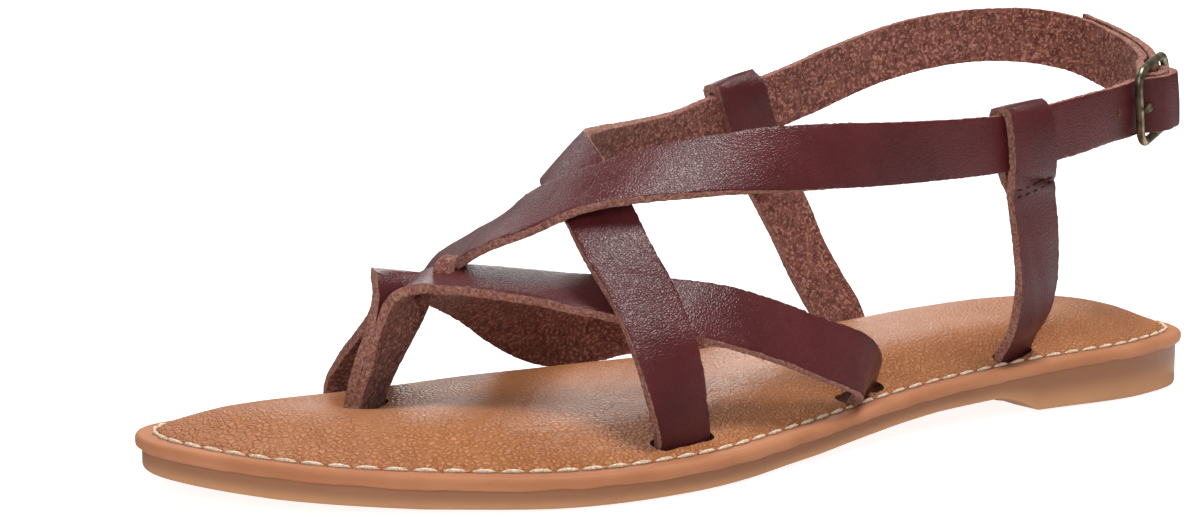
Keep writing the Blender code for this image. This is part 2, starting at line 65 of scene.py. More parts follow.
camera_data = bpy.data.cameras.new("camera")
camera_data.lens = CAMERA_LENS_MM
camera_data.sensor_width = CAMERA_SENSOR_MM
camera_data.sensor_fit = "HORIZONTAL"
camera_data.clip_start = 0.01
camera = bpy.data.objects.new("camera", camera_data)
camera.location = CAMERA_STANDS
camera.rotation_euler = (CAMERA_LOOKS_AT - CAMERA_STANDS).to_track_quat("-Z", "Y").to_euler()
scene.collection.objects.link(camera)
scene.camera = camera
scene.view_settings.view_transform = "Standard"
print("camera stands", round((CAMERA_LOOKS_AT - CAMERA_STANDS).length, 3), "m away")

# %% [markdown]
# ## Shader maths as plain expressions
# A finish is worked out from noise and cells, and that takes a lot of small Math nodes.  The class below
# wraps one socket, so that `1 - mask * 0.3` adds the nodes by itself.  Every other kind of node comes from
# its one method `node`.

# %% Wrap a socket
class Field:
    """One socket of a material, on which maths is written as plain Python."""

    def __init__(self, tree, socket=None):
        self.tree = tree
        self.socket = socket

    def place(self):
        """The place on the piece, so that a grain has the same size everywhere."""
        return self.node("ShaderNodeTexCoord", output="Object")

    def node(self, kind, settings=None, inputs=None, output=0):
        """Any node, with its settings and the values or links of its sockets."""
        made = self.tree.nodes.new(kind)
        for name, value in (settings or {}).items():
            setattr(made, name, value)
        for name, value in (inputs or {}).items():
            if isinstance(value, Field):
                self.tree.links.new(value.socket, made.inputs[name])
            else:
                made.inputs[name].default_value = value
        return Field(self.tree, made.outputs[output])

    def math(self, operation, one, two):
        return self.node("ShaderNodeMath", {"operation": operation}, {0: one, 1: two})

    def __add__(self, other):
        return self.math("ADD", self, other)

    __radd__ = __add__

    def __sub__(self, other):
        return self.math("SUBTRACT", self, other)

    def __rsub__(self, other):
        return self.math("SUBTRACT", other, self)

    def __mul__(self, other):
        return self.math("MULTIPLY", self, other)

    __rmul__ = __mul__

    def span(self, low, high):
        """0 at low, 1 at high, eased between."""
        inputs = {"Value": self, "From Min": low, "From Max": high}
        return self.node("ShaderNodeMapRange", {"interpolation_type": "SMOOTHSTEP"}, inputs)

    def mix(self, one, two):
        """Colour one where this field is 0 and colour two where it is 1."""
        one, two = [c if isinstance(c, Field) else (*c, 1.0) for c in (one, two)]
        return self.node("ShaderNodeMix", {"data_type": "RGBA"}, {0: self, 6: one, 7: two}, output=2)

    def noise(self, size_mm, detail=2.0, roughness=0.5, output=0):
        """Soft noise with spots of about size_mm."""
        scale = 1.0 / (size_mm * MM)
        inputs = {"Vector": self.place(), "Scale": scale, "Detail": detail, "Roughness": roughness}
        return self.node("ShaderNodeTexNoise", None, inputs, output)

    def cells(self, size_mm, warp_mm, warp_size_mm):
        """Distance to the edge of uneven cells of about size_mm, as between the pebbles of leather grain."""
        parts = {0: self.noise(warp_size_mm, output="Color"), 1: (warp_mm * MM,) * 3, 2: self.place()}
        warped = self.node("ShaderNodeVectorMath", {"operation": "MULTIPLY_ADD"}, parts)
        inputs = {"Vector": warped, "Scale": 1.0 / (size_mm * MM)}
        return self.node("ShaderNodeTexVoronoi", {"feature": "DISTANCE_TO_EDGE"}, inputs, "Distance")

    def bump(self, height_mm, strength):
        """Normal of a relief whose height field is this one."""
        inputs = {"Height": self, "Distance": height_mm * MM, "Strength": strength}
        return self.node("ShaderNodeBump", None, inputs, "Normal")


# %% [markdown]
# ## Starting a finish
# Every finish starts from the same shader.  Its constants are set first, then fields are linked to it.

# %% Start a finish
def finish(name, constants):
    """A new material, its shader and a field to start from."""
    made = bpy.data.materials.new(name)
    made.use_nodes = True
    shader = made.node_tree.nodes["Principled BSDF"]
    for socket, value in constants.items():
        shader.inputs[socket].default_value = value
    return made, shader, Field(made.node_tree)


def feed(shader, **sockets):
    """Link fields to the shader's sockets; an underscore stands for a space."""
    for name, field in sockets.items():
        field.tree.links.new(field.socket, shader.inputs[name.replace("_", " ")])


# %% [markdown]
# ## Floor and light
# A plain pale floor runs up into a pale wall behind the sandal, as paper does in a studio.  Both glow a
# little, so that no shadow shows on them, and neither is mirrored in the leather.
# A key light hangs above, a softer one stands at the toe, and a low one behind grazes the satin straps.
# Two large lamps only fill the shadows: they light the sandal and aren't mirrored in it.  The corner light
# and the floor card do the opposite: only their soft reflections show.

# %% Build the floor and the lights
def table(fields, rows):
    """Rows of a table whose columns have names."""
    Row = namedtuple("Row", fields)
    return [Row(*row) for row in rows]


SANDAL = (0.0, 0.0, 0.03)
LAMPS = table("name place aim size watts lights mirrored", [
    ("key_light", (-0.25, 0.22, 1.37), SANDAL, 0.52, 20.0, True, True),
    ("toe_light", (1.1, 0.75, 0.7), SANDAL, 0.8, 6.0, True, True),
    ("back_light", (-0.5, -1.0, 1.2), SANDAL, 0.9, 6.0, True, False),
    ("sheen_light", (-0.85, -1.25, 0.42), SANDAL, 0.5, 4.0, True, True),
    ("fill_light", (0.75, 1.1, 0.5), SANDAL, 1.2, 7.0, True, False),
    ("corner_light", (-0.08, -1.35, 0.9), SANDAL, 0.5, 3.0, False, True),
    ("floor_card", (-0.31, 0.19, 0.002), (-0.31, 0.19, 1.0), 0.38, 0.6, False, True),
])
PAPER_SIZE = 8.0
FLOOR_DROP = 0.0004
WALL_BACK = 1.5
WORLD_GLOW = 0.14


def mode(name):
    """Go into edit mode or back to object mode."""
    bpy.ops.object.mode_set(mode=name)


def start():
    """Leave edit mode and deselect everything, so that the next operator acts on its own piece alone."""
    if bpy.context.object and bpy.context.object.mode != "OBJECT":
        mode("OBJECT")
    bpy.ops.object.select_all(action="DESELECT")


def newest(name):
    """The piece that the last operator made, under a plain name."""
    piece = bpy.context.object
    piece.name = name
    piece.data.name = name
    return piece


def coat(piece, *finishes):
    """Give a piece its finishes, in the order of its material slots."""
    for made in finishes:
        piece.data.materials.append(made)


def lay_paper(name, place, grey, glow):
    """Large sheet of white paper with light behind it."""
    constants = {"Base Color": (grey, grey, grey, 1.0), "Roughness": 0.9}
    constants.update({"Emission Color": (1.0, 1.0, 1.0, 1.0), "Emission Strength": glow})
    made = finish(name + "_paper", constants)[0]
    start()
    bpy.ops.mesh.primitive_plane_add(size=PAPER_SIZE, location=place)
    sheet = newest("studio_" + name)
    coat(sheet, made)
    sheet.visible_glossy = False
    return sheet


floor = lay_paper("floor", (0.0, 0.0, -FLOOR_DROP), grey=0.35, glow=0.85)

behind = (CAMERA_LOOKS_AT - CAMERA_STANDS).normalized()
wall = lay_paper("wall", (behind.x * WALL_BACK, behind.y * WALL_BACK, 0.0), grey=0.9, glow=0.9)
turn_to_camera = math.atan2(-behind.y, -behind.x) - math.pi / 2
mode("EDIT")
bpy.ops.transform.rotate(value=math.pi / 2, orient_axis="X", center_override=wall.location)
bpy.ops.transform.rotate(value=-turn_to_camera, orient_axis="Z", center_override=wall.location)
mode("OBJECT")

world = bpy.data.worlds.new("studio")
world.use_nodes = True
sky = world.node_tree.nodes["Background"].inputs
sky["Color"].default_value = (1.0, 1.0, 1.0, 1.0)
sky["Strength"].default_value = WORLD_GLOW
scene.world = world

for lamp in LAMPS:
    light = bpy.data.lights.new(lamp.name, "AREA")
    light.energy = lamp.watts
    light.size = lamp.size
    stand = bpy.data.objects.new(lamp.name, light)
    stand.location = lamp.place
    stand.rotation_euler = (Vector(lamp.aim) - Vector(lamp.place)).to_track_quat("-Z", "Y").to_euler()
    stand.visible_diffuse = lamp.lights
    stand.visible_glossy = lamp.mirrored
    stand.visible_camera = False
    scene.collection.objects.link(stand)
print("lights:", [lamp.name for lamp in LAMPS])

# %% [markdown]
# ## Leather for the straps
# The straps are one leather with three faces.  The outside is dyed dark maroon and has a fine creased
# grain with a satin gloss.  The inside is brushed: a mottled red-brown nap of lighter and darker specks.
# The cut edge shows the raw middle of the hide, paler and rougher.

# %% Mix the three faces of the strap leather
SMOOTH_MAROON, shader, tree = finish("smooth_maroon", {"IOR": 1.38})
cloud = tree.noise(16.0, 3.0)
wrinkle = tree.cells(0.6, 0.4, 0.9).span(-0.03, 0.3)
pore = tree.noise(0.3, 3.0, 0.6)
worn = tree.noise(4.0, 4.0, 0.6)
tone = cloud.span(0.3, 0.72).mix((0.063, 0.0092, 0.0104), (0.091, 0.015, 0.0162))
tone = ((1.0 - wrinkle) * 0.3).mix(tone, (0.04, 0.008, 0.009))
relief = wrinkle * 0.6 + pore * 0.35 + worn * 0.2
feed(shader, Base_Color=tone, Roughness=0.28 + worn * 0.11, Normal=relief.bump(0.12, 0.62))

SUEDE_INSIDE, shader, tree = finish("suede_inside", {"IOR": 1.2, "Sheen Weight": 0.1, "Sheen Roughness": 0.6})
clump = tree.noise(1.7, 3.0, 0.65)
speck = tree.noise(0.76, 3.0, 0.6)
drift = tree.noise(11.0, 2.0)
tone = clump.span(0.36, 0.64).mix((0.085, 0.024, 0.018), (0.19, 0.066, 0.048))
tone = (speck.span(0.49, 0.64) * 0.85).mix(tone, (0.42, 0.185, 0.135))
tone = (drift.span(0.35, 0.7) * 0.2).mix(tone, (0.1, 0.032, 0.025))
relief = clump * 0.5 + speck * 0.7
feed(shader, Base_Color=tone, Roughness=0.88 + speck * 0.1, Normal=relief.bump(0.4, 0.8))

CUT_EDGE, shader, tree = finish("cut_edge", {"IOR": 1.3})
fibre = tree.noise(0.6, 3.0, 0.7)
clump = tree.noise(2.2, 2.0)
tone = fibre.span(0.34, 0.64).mix((0.125, 0.046, 0.036), (0.32, 0.145, 0.107))
tone = (clump.span(0.4, 0.7) * 0.35).mix(tone, (0.19, 0.078, 0.059))
fray = tree.noise(0.9, 3.0, 0.6)
tone = (fray.span(0.53, 0.66) * 0.6).mix(tone, (0.36, 0.22, 0.178))
feed(shader, Base_Color=tone, Roughness=0.9 - fibre * 0.05, Normal=fibre.bump(0.35, 0.9))

STRAP_FACES = (SMOOTH_MAROON, SUEDE_INSIDE, CUT_EDGE)
INSIDE = STRAP_FACES.index(SUEDE_INSIDE)
RAW = STRAP_FACES.index(CUT_EDGE)
print("strap leather:", [m.name for m in STRAP_FACES])

# %% [markdown]
# ## Routes of the straps
# A strap is a flat band that is bent and twisted over the foot.  Its route is a short table: each row is a
# place that its middle line passes and the way its smooth side faces there.  `along` is counted from the
# heel, `across` to the outer side and `up` from the floor, in millimetres; an `up` of 0 is the floor of a
# slit.  `turn` goes from the outer side towards the toe and `tilt` upwards, in degrees.  The solids were laid
# along nearly the same rows, so a dressed strap sits within a few millimetres of its solid.

# %% Write down the straps at the toe
LENGTH = 250.0
STRAP_WIDTH = 13.1
KEEPER_WIDTH = 12.8
STRAP_THICK = 2.0
LAY = "along across up turn tilt"

THONG_OUTER = table(LAY, [
    (111.2, 25.0, 0.0, -25, 0), (111.4, 26.2, 10.0, -24, -4), (112.6, 29.0, 13.4, -20, 0),
    (116.0, 31.6, 16.6, -20, 13), (121.4, 32.7, 19.0, -15, 20), (128.0, 33.2, 21.4, -8, 27),
    (137.4, 33.0, 25.3, -4, 32), (150.9, 32.0, 29.8, 1, 36), (163.0, 27.9, 32.6, 8, 50),
    (172.6, 18.9, 34.3, 10, 62), (183.0, 4.2, 35.6, 18, 75), (191.4, -2.8, 36.2, 50, 79),
    (197.0, -6.0, 35.2, 120, 54), (199.3, -7.3, 32.2, 142, 18), (200.4, -8.1, 27.6, 149, 4),
    (202.8, -9.9, 19.6, 143, 0), (204.7, -11.5, 13.0, 140, 0), (205.3, -11.9, 0.0, 138, 0),
])
TOE_RING = table(LAY, [
    (206.2, -12.8, 0.0, -42, 0), (205.5, -12.3, 13.0, -40, 0), (203.75, -11.0, 19.6, -37, 0),
    (201.5, -9.9, 24.6, -31, 1), (198.9, -9.5, 30.6, -18, 4), (197.5, -9.6, 34.4, -4, 26),
    (196.4, -12.0, 36.2, 0, 72), (194.6, -15.0, 33.6, 172, 60), (194.0, -19.0, 28.4, 170, 50),
    (194.6, -24.6, 22.2, 180, 40), (195.7, -30.2, 15.6, 188, 22), (196.2, -34.0, 10.0, 192, 4),
    (196.2, -34.0, 0.0, 192, 0),
])
TAB = table(LAY, [
    (186.6, -7.4, 38.2, 60, -62), (188.2, -6.6, 39.1, 60, -80), (190.2, -5.6, 38.9, 240, -74),
    (191.6, -4.8, 37.8, 240, -48), (192.2, -4.4, 36.4, 240, -25),
])
THONG_INNER = table(LAY, [
    (110.0, -26.2, 0.0, 180, 0), (110.2, -27.2, 10.0, 184, -6), (112.0, -31.0, 14.4, 192, 4),
    (117.4, -34.4, 16.4, 194, 20), (126.0, -36.0, 16.5, 188, 18), (137.4, -36.2, 15.6, 183, 14),
    (149.0, -34.2, 16.6, 177, 16), (163.0, -28.6, 22.8, 170, 32), (177.0, -18.6, 29.8, 160, 58),
    (187.6, -10.6, 32.4, 130, 72), (195.0, -9.0, 31.8, 100, 60),
])

# %% [markdown]
# ## Routes of the ankle straps
# The long strap starts at the toe ring and runs over the instep and outside the ankle.  The cross strap rises
# from the outer forefoot and turns back along the inner ankle.  Both go round the heel to the buckle.

# %% Write down the ankle straps
LONG_FRONT = table(LAY, [
    (191.0, -19.4, 31.4, 130, 58), (188.3, -15.4, 36.0, 60, 70), (184.2, -7.4, 41.5, 24, 66),
    (178.9, 2.7, 47.6, 16, 63), (171.8, 9.4, 52.4, 14, 64), (163.5, 15.0, 55.2, 10, 58),
    (148.6, 21.2, 57.5, 8, 42), (128.5, 26.5, 58.7, 7, 18), (103.5, 28.6, 58.8, 2, 4),
    (69.6, 28.4, 60.0, 0, 2), (56.6, 27.2, 61.7, -4, 2), (41.0, 25.4, 64.0, -10, 0),
])
LONG_TAIL = table(LAY, [
    (5.2, 4.6, 73.4, 296, 0), (3.8, -5.4, 77.0, 274, 0), (4.8, -14.8, 80.2, 252, 0),
])
CROSS_FRONT = table(LAY, [
    (164.2, 36.2, 0.0, -8, 0), (164.4, 36.6, 9.4, -8, 2), (166.4, 37.9, 16.0, -5, 8),
    (167.9, 36.3, 24.7, 8, 22), (168.1, 29.6, 34.1, 15, 40), (169.0, 21.8, 42.5, 24, 46),
    (167.7, 12.6, 49.6, 40, 50), (166.0, 2.6, 55.1, 86, 50), (161.4, -8.2, 57.9, 130, 44),
    (150.0, -19.4, 57.6, 147, 32), (131.5, -29.6, 57.2, 161, 18), (113.0, -34.4, 58.8, 172, 8),
    (107.0, -35.2, 60.2, 176, 5), (89.0, -36.2, 65.2, 179, 3), (77.5, -36.2, 68.6, 181, 2),
    (65.0, -36.0, 72.8, 183, 2), (50.0, -35.0, 77.2, 188, 1), (35.0, -32.0, 80.2, 198, 0),
    (20.4, -27.6, 81.2, 212, 0), (11.6, -22.4, 80.6, 230, 0), (7.0, -14.2, 78.6, 252, 0),
    (6.2, -5.4, 75.6, 274, 0), (7.6, 3.4, 72.6, 296, 0),
])

# %% [markdown]
# ## Routes of the keepers
# A keeper stands in its slit, leans forward, goes up outside the ankle strap and comes down inside.

# %% Write down the keepers
KEEPER_OUTER = table(LAY, [
    (62.8, 20.6, 0.0, -16, 0), (62.8, 21.6, 13.8, -16, -6), (62.9, 25.2, 19.0, -15, -12),
    (63.6, 28.2, 27.4, -10, -8), (65.0, 29.2, 38.0, -4, 0), (67.0, 29.5, 47.6, -1, 2),
    (67.9, 30.1, 50.8, -2, -12), (68.5, 31.1, 53.6, -2, -6), (69.8, 30.9, 64.8, -2, 2),
    (70.0, 30.2, 66.5, 0, 45), (70.1, 28.5, 67.2, 90, 82), (70.0, 26.8, 66.5, 180, 45),
    (69.6, 26.1, 64.8, 178, 0), (67.4, 26.1, 55.0, 178, 0), (66.4, 26.8, 52.4, 178, 6),
    (65.9, 27.4, 50.8, 178, 8),
])
KEEPER_INNER = table(LAY, [
    (68.2, -29.0, 0.0, 180, 0), (69.2, -30.4, 15.0, 180, -6), (71.8, -33.0, 21.0, 180, -10),
    (75.2, -35.4, 28.6, 180, -6), (79.2, -37.3, 38.2, 180, 0), (85.4, -38.4, 49.0, 179, 0),
    (91.2, -38.7, 57.0, 178, 1), (94.6, -38.6, 63.0, 177, 2), (96.9, -38.4, 69.0, 177, 3),
    (97.4, -37.7, 70.7, 170, 45), (97.7, -36.0, 71.4, 90, 74), (97.4, -34.3, 70.7, 7, 45),
    (96.8, -33.6, 69.0, -3, -3), (94.2, -33.3, 61.8, -3, -3), (90.9, -33.8, 55.4, -2, -2),
    (88.2, -35.2, 50.6, 0, 0), (86.8, -35.8, 48.0, 0, 0),
])

# %% [markdown]
# ## The way through the buckle
# At the buckle the rows are counted from its middle: `run` along the strap to the heel and `out` away from
# the ankle.  The long strap rises over the middle bar, and the cross strap is folded round it.

# %% Write down the way through the buckle
PASS = "run out"
LONG_AT_BUCKLE = table(PASS, [
    (-9.4, -2.7), (-7.3, -1.9), (-4.9, 1.8), (-2.7, 4.1), (0.0, 4.8), (2.7, 4.1), (4.9, 1.8), (7.3, -1.9),
    (9.4, -2.7), (13.0, -3.4),
])
FOLD_AT_BUCKLE = table(PASS, [(13.0, -6.0), (9.3, -5.6), (5.2, -4.2)])
BUCKLE_MIDDLE = np.array((20.1 - LENGTH / 2, 21.0, 67.3))
BUCKLE_TURN = -23.0
BUCKLE_CLIMB = 13.0
BAR_WIRE = 2.0
GAP = 0.3

# %% [markdown]
# ## Side view of the sole
# The top of the rim falls from the heel to the ball of the foot and rises again at the toe.  The straps end
# in slits at that height, so it is written down before them, together with the tread under it.

# %% Write down the side view
SIDE_ALONG, SIDE_TOP, SIDE_TREAD = np.array([
    (0.0, 13.0, 0.0), (30.0, 12.2, 0.0), (56.0, 11.2, 0.0), (59.0, 11.1, 0.0), (65.0, 10.8, 2.6),
    (71.0, 10.5, 4.0), (90.0, 9.5, 3.4), (110.0, 8.2, 2.0), (130.0, 7.2, 0.9), (150.0, 6.5, 0.2),
    (165.0, 6.2, 0.0), (195.0, 6.2, 0.0), (215.0, 6.8, 0.45), (235.0, 8.3, 1.75), (250.0, 10.2, 3.3),
]).T
EASE_REACH = 9.0
EASE_PLACES = 7


def rim_top(x):
    """Height of the rim's top at a place along the sole, eased so that it has no kinks."""
    reach = np.linspace(-EASE_REACH, EASE_REACH, EASE_PLACES) + LENGTH / 2
    near = [np.clip(x + r, 0.0, LENGTH) for r in reach]
    return np.mean([np.interp(along, SIDE_ALONG, SIDE_TOP) for along in near], axis=0)


def tread_under(x):
    """Height of the tread at a place along the sole."""
    return np.interp(x + LENGTH / 2, SIDE_ALONG, SIDE_TREAD)


print("the rim is", round(rim_top(0.0), 1), "mm high at the middle")

# %% [markdown]
# ## From a table to a smooth run
# A curve that passes every row gives the middle line, and its facing is kept square to it.  The run is
# then cut into even steps of under a millimetre, so that the leather bends without facets.

# %% Work out a smooth run
SLIT_SEAT = -0.1
KNOT_POWER = 0.75
DENSE = 24
STEP = 0.8
Run = namedtuple("Run", "reach middle ahead side face")


def unit(vectors):
    """Vectors of length 1."""
    return vectors / np.linalg.norm(vectors, axis=-1, keepdims=True)


def facing(turn, tilt):
    """Direction of a turn and a tilt, in degrees."""
    t = math.radians(turn)
    e = math.radians(tilt)
    return np.array((math.sin(t) * math.cos(e), math.cos(t) * math.cos(e), math.sin(e)))


def through(knots, rows, steps):
    """Smooth curve through rows, with steps places between knots."""
    chord = (rows[1:] - rows[:-1]) / np.diff(knots)[:, None]
    slope = np.vstack([chord[:1], chord])
    for i in range(1, len(rows) - 1):
        before = knots[i] - knots[i - 1]
        after = knots[i + 1] - knots[i]
        slope[i] = (chord[i - 1] * after + chord[i] * before) / (before + after)
    slope[-1] = chord[-1]
    curve = []
    for i, span in enumerate(np.diff(knots)):
        for u in np.arange(steps) / steps:
            curve.append(
                (2 * u ** 3 - 3 * u ** 2 + 1) * rows[i] + (u ** 3 - 2 * u ** 2 + u) * span * slope[i]
                + (3 * u ** 2 - 2 * u ** 3) * rows[i + 1] + (u ** 3 - u ** 2) * span * slope[i + 1]
            )
    curve.append(rows[-1])
    return np.array(curve)


def walked(points, power=1.0):
    """Distance from the start at each point of a line; a power under 1 evens out long and short steps."""
    return np.r_[0.0, np.cumsum(np.linalg.norm(np.diff(points, axis=0), axis=1) ** power)]


def resample(even, reach, line):
    """Points of a line at even distances."""
    return np.column_stack([np.interp(even, reach, column) for column in line.T])


def laid(rows):
    """Rows of a route as place and facing, in millimetres."""
    out = []
    for r in rows:
        x = r.along - LENGTH / 2
        z = r.up if r.up else rim_top(x) + SLIT_SEAT
        out.append(np.r_[x, r.across, z, facing(r.turn, r.tilt)])
    return out


CLIMB = math.radians(BUCKLE_CLIMB)
UPWARD = np.array((0.0, 0.0, 1.0))
BUCKLE_OUT = facing(BUCKLE_TURN, 0)
TO_HEEL = -np.cross(BUCKLE_OUT, UPWARD)
BUCKLE_RUN = TO_HEEL * math.cos(CLIMB) + UPWARD * math.sin(CLIMB)
BUCKLE_UP = UPWARD * math.cos(CLIMB) - TO_HEEL * math.sin(CLIMB)


def buckle_place(run, out, up=0.0):
    """Place at the buckle, counted from its middle."""
    return BUCKLE_MIDDLE + BUCKLE_RUN * run + BUCKLE_OUT * out + BUCKLE_UP * up


def at_buckle(rows):
    """Rows at the buckle as place and facing; the face follows the rise of the strap."""
    slopes = np.gradient([r.out for r in rows], [r.run for r in rows])
    return [np.r_[buckle_place(*r), unit(BUCKLE_OUT - BUCKLE_RUN * s)] for r, s in zip(rows, slopes)]


def fold_round_bar():
    """Rows of the cross strap's end, turned round the middle bar from the inside to the outside."""
    radius = BAR_WIRE / 2 + GAP + STRAP_THICK / 2
    out = []
    for a in np.radians((280, 240, 200, 160, 120, 80, 50)):
        place = buckle_place(math.cos(a) * radius, math.sin(a) * radius)
        out.append(np.r_[place, unit(BUCKLE_MIDDLE - place)])
    return out


def strap_run(rows):
    """Even steps along a route: distance from its start, middle line and its three directions."""
    rows = np.array(rows, float)
    dense = through(walked(rows[:, :3], KNOT_POWER), rows, DENSE)
    reach = walked(dense[:, :3])
    even = np.linspace(0.0, reach[-1], int(reach[-1] / STEP) + 1)
    run = resample(even, reach, dense)
    ahead = unit(np.gradient(run[:, :3], axis=0))
    side = unit(np.cross(run[:, 3:], ahead))
    return Run(even, run[:, :3], ahead, side, np.cross(ahead, side))


RUNS = {
    "thong_outer": strap_run(laid(THONG_OUTER)),
    "thong_inner": strap_run(laid(THONG_INNER)),
    "toe_ring": strap_run(laid(TOE_RING)),
    "tab": strap_run(laid(TAB)),
    "long": strap_run(laid(LONG_FRONT) + at_buckle(LONG_AT_BUCKLE) + laid(LONG_TAIL)),
    "cross": strap_run(laid(CROSS_FRONT) + at_buckle(FOLD_AT_BUCKLE) + fold_round_bar()),
    "keeper_outer": strap_run(laid(KEEPER_OUTER)),
    "keeper_inner": strap_run(laid(KEEPER_INNER)),
}
for name, run in RUNS.items():
    print("strap", name, "is", round(run.reach[-1]), "mm long")

# %% [markdown]
# ## Creases
# Leather that was bent keeps soft creases.  Each is a trough with a low ridge on both sides.  It crosses its
# strap at a slope, `along` the run, and fades out with `reach` from its place `across` the width.

# %% Write down the creases
CREASE = "along slope deep wide across reach"
LONG_CREASES = table(CREASE, [
    (38.0, 5.0, 0.1, 1.2, 0.2, 0.5), (46.0, 6.5, 0.13, 1.3, -0.1, 0.5), (55.0, 5.0, 0.1, 1.2, 0.1, 0.5),
    (66.0, 3.0, 0.08, 1.4, 0.1, 0.5), (19.0, 2.0, 0.12, 1.3, 0.0, 0.5),
])
OUTER_CREASES = table(CREASE, [
    (9.0, 2.5, 0.16, 1.2, 0.1, 0.6), (13.5, 3.0, 0.12, 1.3, -0.1, 0.5), (30.0, 4.0, 0.08, 1.5, 0.1, 0.5),
])
CROSS_CREASES = table(CREASE, [
    (20.0, 2.0, 0.1, 1.4, 0.1, 0.5), (36.0, 4.0, 0.12, 1.3, -0.1, 0.5), (52.0, 4.0, 0.14, 1.3, 0.1, 0.5),
])
KEEPER_CREASES = table(CREASE, [
    (17.0, 24.0, 0.13, 4.6, 0.1, 0.5), (24.0, 28.0, 0.11, 4.8, -0.3, 0.45),
    (20.0, 26.0, 0.1, 4.2, 0.5, 0.35), (43.5, 2.2, 0.55, 1.1, 0.0, 2.0),
])
RIDGE = 1.4


def crease_height(creases, reach, t):
    """Height that the creases add at a distance along a strap and a share t of half its width."""
    height = 0.0
    for c in creases:
        off = (reach - c.along - c.slope * t) / c.wide
        fade = math.exp(-((t - c.across) / c.reach) ** 2)
        height -= c.deep * fade * (1.0 - off * off) * math.exp(-off * off / RIDGE)
    return height


# %% [markdown]
# ## Laying a strap
# A strap starts as a flat grid, as a cut strip lies on the bench.  Its points are then laid along the run.
# Solidify gives it the thickness of the hide and, with its material offsets, the brushed inside and the raw
# edge.  A small bevel takes the sharpness off the cut, and a little seeded unevenness roughens it.

# %% Tools for all pieces
def hold(piece):
    """Make one piece the selected and active one."""
    start()
    piece.select_set(True)
    bpy.context.view_layer.objects.active = piece


def apply(piece, kind, **settings):
    """Add a modifier, set it and apply it."""
    hold(piece)
    made = piece.modifiers.new(kind.lower(), kind)
    for name, value in settings.items():
        setattr(made, name, value)
    bpy.ops.object.modifier_apply(modifier=made.name)


def soften(piece, degrees=35.0):
    """Shade a piece smooth, apart from edges sharper than an angle."""
    hold(piece)
    bpy.ops.object.shade_smooth_by_angle(angle=math.radians(degrees))


def dress(piece, slot, *nodes):
    """Let a finished piece ride with the sandal and stand for its solids; its slot is not used."""
    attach(piece, "root")
    if nodes:
        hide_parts(*nodes)


# %% Lay a strip of leather
ACROSS = 12
EDGE_SOFT = 0.28
SHARP_FROM = math.radians(50.0)
CAMBER = 0.22
WANDER = 0.12
WANDER_EVERY = 12.0
ROUGH_CUT = 0.055
WHOLE = [(0.0, -1.0, 1.0)]


def roughen(piece, seed):
    """Shift the points of the cut edge a little, as a blade through loose fibre leaves them."""
    raw = {i for f in piece.data.polygons if f.material_index == RAW for i in f.vertices}
    for i in sorted(raw):
        piece.data.vertices[i].co += Vector(seed.normal(0.0, ROUGH_CUT * MM, 3))


def lay_strip(route, creases=(), width=STRAP_WIDTH, slant=0.0, trim=WHOLE):
    """Strip of leather along a route; slant moves the last cut, and trim is a table of distance along, left
    and right edge, as shares of half the width."""
    name = "strap_" + route
    run = RUNS[route]
    count = len(run.reach)
    start()
    bpy.ops.mesh.primitive_grid_add(x_subdivisions=count - 1, y_subdivisions=ACROSS, size=1.0)
    piece = newest(name)
    seed = np.random.default_rng(len(name) * 17 + count)
    posts = np.arange(0.0, run.reach[-1] + 2 * WANDER_EVERY, WANDER_EVERY)
    wide = width / 2 + np.interp(run.reach, posts, seed.normal(0, WANDER, len(posts)))
    at, left, right = np.array(trim).T
    left = np.interp(run.reach, at, left)
    right = np.interp(run.reach, at, right)
    to_end = run.reach[-1] - run.reach
    skew = slant * np.clip(1.0 - to_end / (4.0 * abs(slant) + 0.01), 0.0, 1.0)
    for v in piece.data.vertices:
        i = int(round((v.co.x + 0.5) * (count - 1)))
        t = left[i] + (right[i] - left[i]) * (v.co.y + 0.5)
        lift = crease_height(creases, run.reach[i], t) - CAMBER * t * t
        point = run.middle[i] + run.side[i] * t * wide[i] + run.face[i] * lift + run.ahead[i] * skew[i] * t
        v.co = Vector(point * MM)
    coat(piece, *STRAP_FACES)
    apply(
        piece, "SOLIDIFY", thickness=STRAP_THICK * MM, offset=0.0, use_even_offset=False, use_rim=True,
        material_offset=INSIDE, material_offset_rim=RAW,
    )
    apply(piece, "BEVEL", width=EDGE_SOFT * MM, segments=2, limit_method="ANGLE", angle_limit=SHARP_FROM)
    roughen(piece, seed)
    soften(piece)
    return piece


# %% [markdown]
# ## The five straps of the upper
# A ring goes over the big toe, with a small tab beside it, and the two thong straps meet it at the toe post.
# The long strap runs from the ring over the instep to the buckle and ends in a slanted tail.  The cross strap
# is folded round the bar of the buckle.

# %% Lay the upper
RING_TRIM = [(0.0, -1.0, 1.0), (12.0, -1.0, 1.0), (15.0, -0.5, 1.0), (28.0, -0.3, 1.0), (31.0, -1.0, 1.0)]
LONG_TRIM = [(0.0, -1.0, 1.0), (100.0, -1.0, 1.0), (130.0, -0.93, 0.93), (400.0, -0.88, 0.88)]
TAB_WIDTH = 3.6
TAIL_SLANT = 2.0

upper_pieces = [
    lay_strip("thong_outer", OUTER_CREASES),
    lay_strip("thong_inner"),
    lay_strip("toe_ring", trim=RING_TRIM),
    lay_strip("tab", width=TAB_WIDTH),
    lay_strip("long", LONG_CREASES, slant=TAIL_SLANT, trim=LONG_TRIM),
    lay_strip("cross", CROSS_CREASES),
]
for piece in upper_pieces:
    print(piece.name, len(piece.data.polygons), "faces")

# %% [markdown]
# ## The punched hole
# In front of the buckle the long strap has one more hole for the prong.  A round cutter, turned the way the
# strap faces there, punches it.

